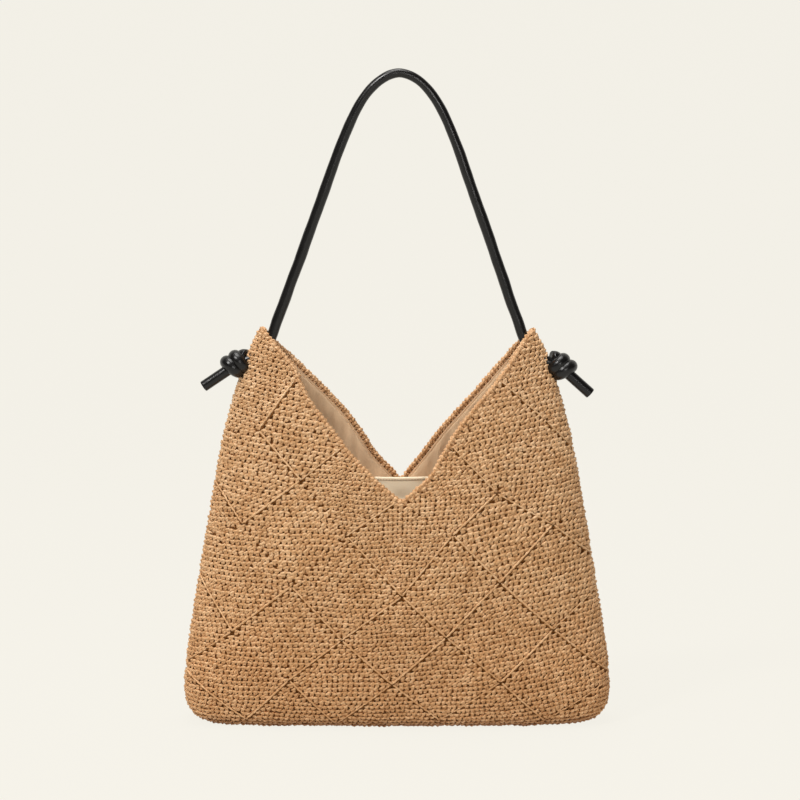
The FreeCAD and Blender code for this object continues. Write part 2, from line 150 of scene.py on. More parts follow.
def squareness(z):
    """Exponent of the oval section: 2 is an ellipse, and more is squarer, as it is near the sole."""
    return 2 + 1.6 * np.exp(-((z / 60) ** 2))


def oval(angle, z):
    """Point of the unit section at an angle from the middle of the panel: across and deep."""
    sine, cosine = np.sin(angle), np.cos(angle)
    n = squareness(z)
    size = (np.abs(sine) ** n + np.abs(cosine) ** n) ** (-1 / n)
    return sine * size, cosine * size


def angle_across(x, z):
    """Angle from the middle of the panel at a distance across it."""
    n = squareness(z)
    share = np.clip(np.abs(x) / half_width(z), 0, 0.99999)
    return np.sign(x) * np.arctan(share / (1 - share**n) ** (1 / n))


# Arc length along the horizontal sections, and along the middle of the panel from the sole up.
LEVELS = np.linspace(0, TOP, 185)
ANGLES = np.linspace(0, math.pi / 2, 361)


def arc_tables():
    """Quarter lengths of the sections, and the angle at each share of them."""
    w = half_width(LEVELS)[:, None]
    d = half_depth(LEVELS)[:, None]
    across, deep = oval(ANGLES[None], LEVELS[:, None])
    x = w * across
    y = d * deep
    steps = np.hypot(np.diff(x, axis=1), np.diff(y, axis=1))
    along = np.concatenate([np.zeros((len(LEVELS), 1)), np.cumsum(steps, axis=1)], axis=1)
    quarter = along[:, -1]
    shares = np.linspace(0, 1, 241)
    table = np.array([np.interp(shares, along[k] / quarter[k], ANGLES) for k in range(len(LEVELS))])
    return quarter, shares, table


QUARTER, SHARES, ANGLE_TABLE = arc_tables()
RISE = np.concatenate([[0], np.cumsum(np.hypot(np.diff(LEVELS), np.diff(half_depth(LEVELS)) * 0.9))])


def height_at(t):
    """Height of a point t along the panel above the sole's edge."""
    return np.interp(t, RISE, LEVELS)


def along_at(z):
    """Length along the panel from the sole's edge up to a height."""
    return np.interp(z, LEVELS, RISE)


def quarter_at(z):
    """Length round a quarter of the section at a height."""
    return np.interp(z, LEVELS, QUARTER)


def angle_at(s, z):
    """Angle round the section, 0 at the middle of the panel, at arc length s and height z."""
    share = s / quarter_at(z)
    sign = np.sign(share)
    share = np.abs(share)
    beyond = share > 1
    share = np.where(beyond, 2 - share, share)
    level = np.clip(z / LEVELS[1], 0, len(LEVELS) - 1.001)
    k = level.astype(int)
    fz = level - k
    place = np.clip(share, 0, 1) * (len(SHARES) - 1)
    j = np.clip(place.astype(int), 0, len(SHARES) - 2)
    fj = place - j
    low = ANGLE_TABLE[k, j] * (1 - fj) + ANGLE_TABLE[k, j + 1] * fj
    high = ANGLE_TABLE[k + 1, j] * (1 - fj) + ANGLE_TABLE[k + 1, j + 1] * fj
    angle = low * (1 - fz) + high * fz
    angle = np.where(beyond, math.pi - angle, angle)
    return sign * angle


def relief(angle, z, side):
    """Small soft swells of the stuffed fabric."""
    swell = 0.9 * np.sin(angle * 5.1 + z * 0.021 + side) * np.sin(z * 0.033 + 1.3 * side)
    swell += 0.6 * np.sin(angle * 9.3 - z * 0.031 + 2.1 * side)
    return swell * np.clip((z - 4) / 30, 0, 1) * np.clip((355 - z) / 60, 0, 1)


def surface(s, t, side, lift=0.0):
    """Point on a panel: s across and t up along the fabric, side -1 at the front and +1 at the back."""
    z = height_at(t)
    angle = angle_at(s, z)
    out = lift + relief(angle, z, side) * np.clip(np.cos(angle), 0, 1)
    w = half_width(z)
    d = half_depth(z)
    n = squareness(z)
    unit_x, unit_y = oval(angle, z)
    across = w * unit_x
    deep = d * unit_y
    nx = np.sign(unit_x) * np.abs(unit_x) ** (n - 1) / w
    ny = np.sign(unit_y) * np.abs(unit_y) ** (n - 1) / d
    size = np.hypot(nx, ny)
    x = across + out * nx / size
    y = side * (deep + out * ny / size)
    return np.stack([x, y, z + 0 * x], -1)


def across_at(s, t):
    """Distance across the panel seen straight on."""
    z = height_at(t)
    return half_width(z) * oval(angle_at(s, z), z)[0]


def frames(s, t, side):
    """Point, unit vectors along s and t, and outward normal of a panel."""
    p = surface(s, t, side)
    ds = surface(s + 0.4, t, side) - surface(s - 0.4, t, side)
    dt = surface(s, t + 0.4, side) - surface(s, t - 0.4, side)
    n = np.cross(ds, dt) * -side
    n /= np.linalg.norm(n, axis=-1, keepdims=True)
    ds /= np.linalg.norm(ds, axis=-1, keepdims=True)
    dt -= (dt * ds).sum(-1, keepdims=True) * ds
    dt /= np.linalg.norm(dt, axis=-1, keepdims=True)
    return p, ds, dt, n


def mouth_height(x, side):
    """Height of the mouth's edge at a distance across the panel."""
    line = MOUTHS[side]
    return np.interp(x, line[:, 0], line[:, 1], left=361.0, right=359.5)


# ---------------------------------------------------------------- meshes


def new_object(name, verts, faces, material, uv=None):
    """A mesh object from arrays in millimetres; faces is an array of quads."""
    mesh = bpy.data.meshes.new(name)
    verts = np.asarray(verts, float) * MM
    faces = np.asarray(faces, np.int32)
    mesh.vertices.add(len(verts))
    mesh.vertices.foreach_set("co", verts.ravel())
    mesh.loops.add(faces.size)
    mesh.loops.foreach_set("vertex_index", faces.ravel())
    mesh.polygons.add(len(faces))
    mesh.polygons.foreach_set("loop_start", np.arange(0, faces.size, 4, dtype=np.int32))
    mesh.polygons.foreach_set("use_smooth", np.full(len(faces), True))
    if uv is not None:
        layer = mesh.uv_layers.new(name="Strand")
        layer.data.foreach_set("uv", np.asarray(uv, np.float32)[faces.ravel()].ravel())
    mesh.update(calc_edges=True)
    mesh.materials.append(material)
    piece = bpy.data.objects.new(name, mesh)
    bpy.context.scene.collection.objects.link(piece)
    return piece


class Strands:
    """Collects geometry for one piece."""

    def __init__(self):
        self.verts = []
        self.faces = []
        self.uvs = []
        self.count = 0

    def add(self, verts, faces, uvs):
        self.verts.append(verts.reshape(-1, 3))
        self.faces.append(faces.reshape(-1, 4) + self.count)
        self.uvs.append(uvs.reshape(-1, 2))
        self.count += verts.reshape(-1, 3).shape[0]

    def keep_above(self, floor):
        for verts in self.verts:
            np.maximum(verts[:, 2], floor, out=verts[:, 2])

    def build(self, name, material):
        return new_object(
            name, np.concatenate(self.verts), np.concatenate(self.faces), material, np.concatenate(self.uvs)
        )


SIDES = 6  # of a yarn


def path_lengths(points):
    """Length along a polyline at each of its points."""
    return np.concatenate([[0], np.cumsum(np.linalg.norm(np.diff(points, axis=0), axis=1))])


def strand_uv(points, sides, wide=1):
    """Coordinates on a tube: round it, and along it in millimetres."""
    around = np.broadcast_to(np.arange(sides) / sides * wide, (len(points), sides))
    return np.stack([around, np.repeat(path_lengths(points)[:, None], sides, 1)], -1)


def tube_faces(rings, sides=SIDES):
    """Quads of a closed tube, with its two ends."""
    index = np.arange(rings * sides).reshape(rings, sides)
    around = np.roll(index, -1, 1)
    walls = np.stack([index[:-1], index[1:], around[1:], around[:-1]], -1).reshape(-1, 4)
    caps = [(0, c + 1, c + 2, c + 3) for c in range(0, sides - 2, 2)]
    first = np.array(caps)
    last = index[-1, 0] + first[:, ::-1]
    return np.concatenate([walls, first, last])


def sweep(points, radii, up, sides=SIDES, flat=1.0, turn=0.0):
    """Rings round a polyline. up is a guide direction, flat the thickness over the width."""
    points = np.asarray(points, float)
    along = np.gradient(points, axis=0)
    along /= np.linalg.norm(along, axis=1, keepdims=True)
    up = np.broadcast_to(up, points.shape)
    across = np.cross(along, up)
    across /= np.linalg.norm(across, axis=1, keepdims=True)
    out = np.cross(across, along)
    turns = np.linspace(0, 2 * math.pi, sides, endpoint=False) + turn
    radii = np.broadcast_to(radii, len(points))
    rings = (
        points[:, None]
        + across[:, None] * (np.cos(turns)[None, :, None] * radii[:, None, None])
        + out[:, None] * (np.sin(turns)[None, :, None] * radii[:, None, None] * flat)
    )
    return rings, strand_uv(points, sides)


def tube_piece(name, rings, uv, material):
    """A piece that is one tube."""
    return new_object(name, rings.reshape(-1, 3), tube_faces(*rings.shape[:2]), material, uv.reshape(-1, 2))


def on_bag(piece, slot, *nodes):
    """Fixes a piece to the bag and hides the CAD nodes that it stands for; slot is not used."""
    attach(piece, "bag")
    if nodes:
        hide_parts(*nodes)


# ---------------------------------------------------------------- one crochet stitch

# Centre lines of a stitch's two legs and its top loop, in a cell 4.8 mm wide and 4.5 mm high: across, up, out.
LEFT_LEG = [(-0.75, -2.6, -2.2), (-0.85, -1.5, -0.30), (-0.70, -0.5, 0.40), (-0.50, 0.6, 0.30), (-0.55, 1.7, -1.6)]
RIGHT_LEG = [(0.15, -2.6, -2.2), (0.40, -1.5, -0.25), (0.75, -0.4, 0.50), (1.05, 0.7, 0.40), (1.20, 1.7, -1.6)]
LOOP = [(-2.95, 0.1, -2.1), (-1.7, 0.95, 0.40), (-0.1, 1.65, 1.45), (1.55, 1.9, 0.70), (2.9, 1.4, -2.1)]
LEG_RADIUS = 1.0
LOOP_RADIUS = 1.14
VARIANTS = 14


def stitch_template(k):
    """Vertices, faces and strand coordinates of one hand-made stitch; k varies it."""
    own = np.random.default_rng(100 + k)
    verts, faces, uvs = [], [], []
    count = 0
    for line, radius in ((LEFT_LEG, LEG_RADIUS), (RIGHT_LEG, LEG_RADIUS), (LOOP, LOOP_RADIUS)):
        points = np.array(line) + own.normal(0, 0.2, (5, 3))
        swell = radius * (1 + own.normal(0, 0.09, 5))
        swell[[0, -1]] *= 0.75
        rings, uv = sweep(points, swell, (0, 0, 1), flat=0.86, turn=own.uniform(0, 1))
        verts.append(rings.reshape(-1, 3))
        faces.append(tube_faces(5) + count)
        uvs.append(uv.reshape(-1, 2) + (0, own.uniform(0, 50)))
        count += 5 * SIDES
    return np.concatenate(verts), np.concatenate(faces), np.concatenate(uvs)


TEMPLATES = [stitch_template(k) for k in range(VARIANTS)]


def place_stitches(strands, p, e1, e2, n, width, height):
    """Adds a stitch at each frame. width and height are scales of the nominal cell."""
    count = len(p)
    if count == 0:
        return
    width = np.broadcast_to(width, count)
    height = np.broadcast_to(height, count)
    turn = rng.normal(0, 0.19, count)
    c, s = np.cos(turn)[:, None], np.sin(turn)[:, None]
    e1, e2 = e1 * c + e2 * s, e2 * c - e1 * s
    lift = rng.normal(0, 0.22, count)
    tone = rng.uniform(0, 1, count)
    kinds = rng.integers(0, VARIANTS, count)
    for k in range(VARIANTS):
        pick = kinds == k
        if not pick.any():
            continue
        verts, faces, uvs = TEMPLATES[k]
        a = verts[None, :, 0] * width[pick][:, None]
        b = verts[None, :, 1] * height[pick][:, None]
        out = verts[None, :, 2] + lift[pick][:, None]
        placed = (
            p[pick][:, None]
            + a[..., None] * e1[pick][:, None]
            + b[..., None] * e2[pick][:, None]
            + out[..., None] * n[pick][:, None]
        )
        number = placed.shape[0]
        all_faces = faces[None] + (np.arange(number) * len(verts))[:, None, None]
        all_uvs = np.repeat(uvs[None], number, 0)
        all_uvs[..., 0] += np.floor(tone[pick] * 64)[:, None]
        strands.add(placed, all_faces, all_uvs)


# ---------------------------------------------------------------- rows of stitches in a region


def node_position(column, row, side):
    """A lattice corner seen straight on, pulled off the even lattice by hand sewing."""
    x = math.copysign(COLUMNS[abs(column)], column) if column else 0.0
    if abs(column) == 5:
        return np.array([x, float(ROWS[row])])
    z = float(ROWS[row])
    if side < 0:
        dx, dz = CORNER_SHIFTS.get((column, row), (0, 0))
    else:
        own = np.random.default_rng(7 * row + 31 * (column + 6))
        dx, dz = own.normal(0, 2.2, 2)
        dz += {5: 3, 4: 3, 3: 4, 2: 4}.get(row, 0)
    if abs(column) == 4:
        dx = math.copysign(3.0, column)
    return np.array([x + dx, z + dz])


def square_corners(row, column):
    """Lattice corners of a square, anticlockwise from its top; those of the lowest row end at the sole."""
    if row == 1:
        return [(column, 2), (column - 1, 1), None, None, (column + 1, 1)]
    return [(column, row + 1), (column - 1, row), (column, row - 1), (column + 1, row)]


def tip_corners(hand):
    """Lattice corners under a tip, and the outer points above them."""
    corners = [(hand * 1, 7), (hand * 2, 8), (hand * 3, 7), (hand * 4, 6), None, None, None]
    return corners if hand < 0 else corners[::-1]


def square_polygon(row, column, side):
    """A square seen straight on."""
    corners = square_corners(row, column)
    points = [node_position(*c, side) if c else None for c in corners]
    if row == 1:
        points[2] = np.array([points[1][0], -40.0])
        points[3] = np.array([points[4][0], -40.0])
    return np.array(points)


def tip_polygon(hand, side):
    """The tip above the highest seams, on one side."""
    points = [node_position(hand * c, r, side) for c, r in ((1, 7), (2, 8), (3, 7), (4, 6))]
    points += [np.array([hand * 240.0, points[-1][1]]), np.array([hand * 240.0, 420.0])]
    points += [np.array([points[0][0], 420.0])]
    points = np.array(points)
    return points if hand < 0 else points[::-1]


def segment_distance(a, b, x, z):
    """Distance from points to the straight line between two corners."""
    dx, dz = b - a
    f = np.clip(((x - a[0]) * dx + (z - a[1]) * dz) / (dx * dx + dz * dz), 0, 1)
    return np.hypot(x - a[0] - f * dx, z - a[1] - f * dz)


def edge_distance(polygon, x, z, margins=None):
    """Distance inside a polygon, measured to its nearest side less that side's margin; negative outside."""
    inside = np.zeros(x.shape, bool)
    nearest = np.full(x.shape, 1e9)
    margins = [0.0] * len(polygon) if margins is None else margins
    for a, b, margin in zip(polygon, np.roll(polygon, -1, 0), margins):
        nearest = np.minimum(nearest, segment_distance(a, b, x, z) - margin)
        crosses = (a[1] > z) != (b[1] > z)
        with np.errstate(divide="ignore", invalid="ignore"):
            at = a[0] + (z - a[1]) * (b[0] - a[0]) / (b[1] - a[1])
        inside ^= crosses & (x < at)
    return np.where(inside, nearest, -np.abs(nearest))


def mouth_distance(x, z, side):
    """Distance below the mouth's edge; negative above it."""
    line = MOUTHS[side]
    nearest = np.full(x.shape, 1e9)
    for a, b in zip(line[:-1], line[1:]):
        nearest = np.minimum(nearest, segment_distance(a, b, x, z))
    return np.where(z < mouth_height(x, side), nearest, -nearest)


RIDGE_MARGIN = 0.6  # from a join to the nearest stitch, on the side that carries its ridge
CREASE_MARGIN = 1.3  # the same on the side that carries its crease
FLUSH_MARGIN = 0.35
REGION_REACH = 76.0  # from a region's middle to past its furthest corner
SCAN_STEP = 0.3
SHORTEST_ROW = 1.4


def fill_rows(polygon, margins, side, tilt, scale, centre_s, centre_t):
    """Centres, row directions and cell sizes of stitches worked in straight rows across a region."""
    a = np.arange(-REGION_REACH, REGION_REACH, SCAN_STEP)
    pitch = STITCH_HEIGHT * scale
    b = np.arange(-REGION_REACH, REGION_REACH, pitch)
    wave = 0.35 * np.sin(a * 0.11 + tilt * 40)[None] + 0.25 * np.sin(a[None] * 0.05 + b[:, None] * 0.08)
    grid_a, grid_b = np.meshgrid(a, b)
    grid_b = grid_b + wave
    c, s = math.cos(tilt), math.sin(tilt)
    ss = centre_s + grid_a * c - grid_b * s
    tt = centre_t + grid_a * s + grid_b * c
    z = height_at(tt)
    x = across_at(ss, tt)
    keep = (tt > 1.2) & (z < 359.8) & (np.abs(ss) < quarter_at(z) - 0.4)
    keep &= edge_distance(polygon, x, z, margins) > 0
    keep &= mouth_distance(x, z, side) > EDGING - 0.8
    found = []
    for r in range(len(b)):
        line = keep[r]
        if not line.any():
            continue
        edges = np.flatnonzero(np.diff(np.concatenate([[0], line.view(np.int8), [0]])))
        for begin, end in zip(edges[::2], edges[1::2]):
            length = (end - begin) * SCAN_STEP
            if length < SHORTEST_ROW:
                continue
            number = max(1, int(round(length / (STITCH_WIDTH * scale))))
            width = length / number
            at = a[begin] + width * (np.arange(number) + 0.5)
            at += (r % 2 - 0.5) * 0.5 * width * np.sin(math.pi * (np.arange(number) + 0.5) / number) ** 0.5
            rows_b = np.interp(at, a, grid_b[r])
            found.append(
                np.stack(
                    [
                        centre_s + at * c - rows_b * s,
                        centre_t + at * s + rows_b * c,
                        np.full(number, width),
                    ],
                    1,
                )
            )
    if not found:
        return np.zeros((0, 3)), pitch
    return np.concatenate(found), pitch


def is_above(polygon, a, b):
    """Whether a polygon lies above one of its own sides."""
    x, z = (a + b) / 2
    return edge_distance(polygon, np.array([x]), np.array([z + 2.0]))[0] > 0


def stitch_region(strands, polygon, ridges, side, tilt, scale):
    """Works one square, or one tip, in rows of single crochet."""
    visible = polygon.copy()
    visible[:, 0] = np.clip(visible[:, 0], -185, 185)
    visible[:, 1] = np.clip(visible[:, 1], 1, 350)
    middle = visible.mean(0)
    centre_t = float(along_at(middle[1]))
    centre_s = float(arc_from_angle(angle_across(middle[0], middle[1]), middle[1]))
    margins = []
    for a, b, ridge in zip(polygon, np.roll(polygon, -1, 0), ridges):
        raised = RIDGE_MARGIN if is_above(polygon, a, b) else CREASE_MARGIN
        margins.append(FLUSH_MARGIN + (raised - FLUSH_MARGIN) * min(1.0, 1.3 * ridge))
    found, pitch = fill_rows(polygon, margins, side, tilt, scale, centre_s, centre_t)
    if len(found) == 0:
        return
    jitter = rng.normal(0, 0.24, (len(found), 2))
    s = found[:, 0] + jitter[:, 0]
    t = found[:, 1] + jitter[:, 1]
    p, ds, dt, n = frames(s, t, side)
    deep = [0.0 if ridge else -8.0 for ridge in ridges]
    inset = edge_distance(polygon, across_at(s, t), height_at(t), deep)
    sink = 1.35 + 0.7 * np.exp(-np.clip(inset - 1.2, 0, 50) / 1.8)
    p = p - n * sink[:, None]
    c, q = math.cos(tilt), math.sin(tilt)
    e2 = dt * c - ds * q
    e1 = np.cross(e2, n)
    size = found[:, 2] / STITCH_WIDTH
    tall = pitch / STITCH_HEIGHT * (1 + rng.normal(0, 0.04, len(found)))
    place_stitches(strands, p, e1, e2, n, size * 1.02, tall * 1.04)


def arc_from_angle(angle, z):
    """Arc length from the middle of the panel to an angle round the section at a height."""
    k = int(np.clip(round(z / LEVELS[1]), 0, len(LEVELS) - 1))
    sign = -1 if angle < 0 else 1
    return sign * np.interp(abs(angle), ANGLE_TABLE[k], SHARES) * QUARTER[k]


def to_fabric(points):
    """Fabric coordinates (s, t) of points seen straight on."""
    out = []
    for x, z in points:
        z = float(np.clip(z, 0, TOP - 1))
        out.append((arc_from_angle(angle_across(x, z), z), float(along_at(z))))
    return np.array(out)


def join_strength(first, second, side):
    """How far the join between two lattice corners stands out."""
    if first is None or second is None:
        return 0.0
    if side > 0:
        return 0.7
    return SEAMS.get((first, second), SEAMS.get((second, first), 0.0))


# ---------------------------------------------------------------- seams, mouth edging and the sheet of painted shade under the stitches


def seam_strand(strands, a, b, polygon, side, radius, lift, inset):
    """One smooth strand laid just inside a square's side, where the square is joined to the next; built as yarn for a
    ridge, and as painted shade for a crease.
    """
    length = float(np.hypot(*(b - a)))
    count = max(8, int(length / 1.6))
    f = np.linspace(0.012, 0.988, count)
    points = a + (b - a) * f[:, None]
    inward = np.array([-(b - a)[1], (b - a)[0]]) / length
    if edge_distance(polygon, *[np.array([v]) for v in (a + b) / 2 + inward])[0] < 0:
        inward = -inward
    wander = 0.22 * np.sin(f * length * 1.31 + radius * 90)
    points = points + inward * (inset + wander)[:, None]
    x, z = points[:, 0], points[:, 1]
    keep = (z > 0.6) & (np.abs(x) < half_width(np.clip(z, 0, TOP - 1)) - 0.5)
    keep &= mouth_distance(x, z, side) > EDGING * 0.6
    edges = np.flatnonzero(np.diff(np.concatenate([[0], keep.view(np.int8), [0]])))
    for begin, end in zip(edges[::2], edges[1::2]):
        if end - begin < 4:
            continue
        fabric = to_fabric(points[begin:end])
        p, _, _, n = frames(fabric[:, 0], fabric[:, 1], side)
        bumps = 0.16 * np.sin(np.arange(end - begin) * 1.9)
        p = p + n * (lift + bumps)[:, None]
        thickness = radius * (1 + 0.20 * np.sin(np.arange(end - begin) * 1.9 + radius * 30))
        thickness[[0, -1]] *= 0.6
        rings, uv = sweep(p, thickness, n)
        strands.add(rings, tube_faces(len(p)), uv)


def resample(line, step):
    """Even points along a smooth curve through a polyline, with unit tangents."""
    knots = path_lengths(line)
    count = int(knots[-1] / step) + 1
    at = np.linspace(0, knots[-1], count)
    fine = np.stack([smooth_table(knots, line[:, k], at) for k in range(2)], 1)
    tangent = np.gradient(fine, axis=0)
    tangent /= np.linalg.norm(tangent, axis=1, keepdims=True)
    return fine, tangent


def mouth_edging(side):
    """Single crochet worked round the mouth: a row on the outside, the rim, and a row on the inside."""
    line = MOUTHS[side]
    strands = Strands()
    rim, tangent = resample(line, STITCH_WIDTH * 0.80)
    down = np.stack([tangent[:, 1], -tangent[:, 0]], 1)
    # Distance below the rim, turn of the stitch in degrees, lift off the fabric, and scales across and up.
    rows = (
        (2.6, 0, -1.25, 0.84, 1.06),
        (0.6, 90, -0.5 * WALL - 0.2, 0.80, 0.92),
        (2.75, 180, -WALL + 0.85, 0.84, 1.06),
    )
    for drop, roll, lift, wide, tall in rows:
        fabric = to_fabric(rim + down * drop)
        p, ds, dt, n = frames(fabric[:, 0], fabric[:, 1], side)
        along = ds * tangent[:, :1] + dt * tangent[:, 1:]
        along /= np.linalg.norm(along, axis=1, keepdims=True)
        up = -side * np.cross(n, along)
        p = p + n * lift
        if roll == 0:
            place_stitches(strands, p, np.cross(up, n), up, n, wide, tall)
        elif roll == 90:
            place_stitches(strands, p - up * 0.2, np.cross(up, n), -n, up, wide, tall * 0.92)
        else:
            place_stitches(strands, p, np.cross(n, up), up, -n, wide, tall)
    return strands


def panel_grid(side, columns, rows, low, drop):
    """Fabric coordinates of an even grid from a height up to a distance below the mouth."""
    shares = np.linspace(-1, 1, columns)
    s = np.zeros((columns, rows))
    t = np.zeros((columns, rows))
    for k, share in enumerate(shares):
        base = low + 1.0
        trial = np.linspace(base, 361.5, 700)
        x = half_width(trial) * oval(angle_at(share * quarter_at(trial), trial), trial)[0]
        below = mouth_distance(x, trial, side) > drop
        high = trial[below].max() if below.any() else base
        z = np.linspace(low, high, rows)
        s[k] = share * quarter_at(z)
        t[k] = along_at(z)
    return s, t


def slab(verts_out, verts_in):
    """A closed sheet from two grids of points: its two faces and its rim."""
    columns, rows = verts_out.shape[:2]
    number = columns * rows
    index = np.arange(number).reshape(columns, rows)
    a, b, c, d = index[:-1, :-1], index[1:, :-1], index[1:, 1:], index[:-1, 1:]
    top = np.stack([a, b, c, d], -1).reshape(-1, 4)
    bottom = np.stack([a, d, c, b], -1).reshape(-1, 4) + number
    ring = np.concatenate([index[:, 0], index[-1, 1:], index[-2::-1, -1], index[0, -2:0:-1]])
    following = np.roll(ring, -1)
    rim = np.stack([ring, ring + number, following + number, following], -1)
    verts = np.concatenate([verts_out.reshape(-1, 3), verts_in.reshape(-1, 3)])
    return verts, np.concatenate([top, bottom, rim])


# ---------------------------------------------------------------- materials


class Nodes:
    """Short calls for building a material's nodes."""

    def __init__(self, name):
        self.material = bpy.data.materials.new(name)
        self.material.use_nodes = True
        self.tree = self.material.node_tree
        self.tree.nodes.clear()
        output = self.tree.nodes.new("ShaderNodeOutputMaterial")
        self.shader = self.tree.nodes.new("ShaderNodeBsdfPrincipled")
        self.link(self.shader.outputs[0], output.inputs["Surface"])

    def link(self, source, target):
        self.tree.links.new(source, target)

    def fill(self, target, value):
        if isinstance(value, bpy.types.NodeSocket):
            self.link(value, target)
        else:
            target.default_value = value

    def put(self, name, value):
        """Sets or links one of the shader's own sockets."""
        self.fill(self.shader.inputs[name], value)

    def node(self, kind, inputs=None, **settings):
        made = self.tree.nodes.new(kind)
        for key, value in settings.items():
            setattr(made, key, value)
        for key, value in (inputs or {}).items():
            self.fill(made.inputs[key], value)
        return made

    def math(self, operation, a, b=0.0, c=0.0):
        return self.node("ShaderNodeMath", {0: a, 1: b, 2: c}, operation=operation).outputs[0]

    def noise(self, vector, scale, detail=2.0, roughness=0.5):
        inputs = {"Vector": vector, "Scale": scale, "Detail": detail, "Roughness": roughness}
        return self.node("ShaderNodeTexNoise", inputs).outputs["Fac"]

    def ramp(self, fac, stops):
        made = self.node("ShaderNodeValToRGB", {"Fac": fac})
        ramp = made.color_ramp
        while len(ramp.elements) < len(stops):
            ramp.elements.new(0.5)
        for element, (place, colour) in zip(ramp.elements, stops):
            element.position = place
            element.color = (*colour, 1)
        return made.outputs["Color"]

    def mix(self, fac, a, b, blend="MIX"):
        made = self.node("ShaderNodeMix", {0: fac, 6: a, 7: b}, data_type="RGBA", blend_type=blend)
        return made.outputs[2]

    def bump(self, height, strength, distance, normal=None):
        inputs = {"Height": height, "Strength": strength, "Distance": distance}
        if normal is not None:
            inputs["Normal"] = normal
        return self.node("ShaderNodeBump", inputs).outputs["Normal"]

    def place(self):
        return self.node("ShaderNodeTexCoord").outputs["Object"]

    def strand(self):
        return self.node("ShaderNodeUVMap", uv_map="Strand").outputs["UV"]

    def scaled(self, vector, scale):
        return self.node("ShaderNodeMapping", {"Vector": vector, "Scale": scale}).outputs["Vector"]


def raffia(name, dark, middle, light):
    """Twisted raffia: streaks along the yarn, a tone for each stitch and soft blotches, with painted shade that
    darkens it lower down the bag and much more within 11 mm of the floor.
    """
    n = Nodes(name)
    place = n.place()
    strand = n.strand()
    streak = n.noise(n.scaled(strand, (16.0, 0.35, 1.0)), 1.0, 3.0, 0.6)
    stitch = n.node("ShaderNodeTexVoronoi", {"Vector": place, "Scale": 215.0, "Randomness": 1.0}).outputs["Color"]
    stitch = n.node("ShaderNodeSeparateColor", {0: stitch}).outputs[0]
    blotch = n.noise(place, 28.0, 3.0, 0.55)
    fac = n.math("ADD", n.math("MULTIPLY", streak, 0.55), n.math("MULTIPLY", stitch, 0.20))
    fac = n.math("ADD", fac, n.math("MULTIPLY_ADD", blotch, 0.24, 0.08))
    colour = n.ramp(fac, [(0.25, dark), (0.55, middle), (0.85, light)])
    # Painted shade: from 0.34 m down to 0.02 m high the raffia is multiplied darker and warmer, for the shade that
    # falls on the lower bag.
    height = n.node("ShaderNodeSeparateXYZ", {0: place}).outputs[2]
    rise = n.node("ShaderNodeMapRange", {0: height, 1: 0.02, 2: 0.34, 3: 0.0, 4: 1.0}, clamp=True).outputs[0]
    shade_by_height = n.ramp(rise, [(0.0, (0.98, 0.87, 0.75)), (0.42, (1.0, 0.955, 0.89)), (1.0, (1.0, 1.0, 1.0))])
    colour = n.mix(1.0, colour, shade_by_height, "MULTIPLY")
    # Painted shade: within 11 mm of the floor the raffia is multiplied much darker, for the shade where the bag turns
    # under.
    under = n.node("ShaderNodeMapRange", {0: height, 1: 0.0, 2: 0.011, 3: 1.0, 4: 0.0}, clamp=True).outputs[0]
    colour = n.mix(under, colour, (0.36, 0.24, 0.16, 1), "MULTIPLY")
    n.put("Base Color", colour)
    n.put("Roughness", n.math("MULTIPLY_ADD", streak, 0.30, 0.34))
    fibre = n.noise(n.scaled(strand, (30.0, 0.6, 1.0)), 1.0, 2.0, 0.6)
    crumple = n.noise(place, 900.0, 2.0, 0.5)
    height = n.math("ADD", n.math("MULTIPLY", fibre, 0.7), n.math("MULTIPLY", crumple, 0.5))
    n.put("Normal", n.bump(height, 0.55, 0.0004))
    n.put("Specular IOR Level", 0.37)
    return n.material


def canvas(name, dark, light, thread=0.62):
    """Plain-weave cotton: threads both ways from the sheet's own coordinates in millimetres."""
    n = Nodes(name)
    strand = n.strand()
    split = n.node("ShaderNodeSeparateXYZ", {0: strand})
    over = n.math("SINE", n.math("MULTIPLY", split.outputs[0], 2 * math.pi / thread))
    under = n.math("SINE", n.math("MULTIPLY", split.outputs[1], 2 * math.pi / thread))
    weave = n.math("MULTIPLY", over, under)
    place = n.place()
    slub = n.noise(n.scaled(strand, (0.25, 3.0, 1.0)), 1.0, 3.0, 0.6)
    slub_across = n.noise(n.scaled(strand, (3.0, 0.25, 1.0)), 1.0, 3.0, 0.6)
    blotch = n.noise(place, 18.0, 3.0, 0.5)
    fac = n.math("MULTIPLY_ADD", weave, 0.09, n.math("MULTIPLY", n.math("ADD", slub, slub_across), 0.32))
    fac = n.math("ADD", fac, n.math("MULTIPLY", blotch, 0.36))
    n.put("Base Color", n.ramp(fac, [(0.28, dark), (0.72, light)]))
    n.put("Roughness", n.math("MULTIPLY_ADD", slub, 0.15, 0.78))
    height = n.math("ADD", n.math("MULTIPLY", weave, 0.5), slub)
    n.put("Normal", n.bump(height, 0.45, 0.0002))
    n.put("Sheen Weight", 0.25)
    n.put("Sheen Roughness", 0.6)
    n.put("Specular IOR Level", 0.25)
    return n.material


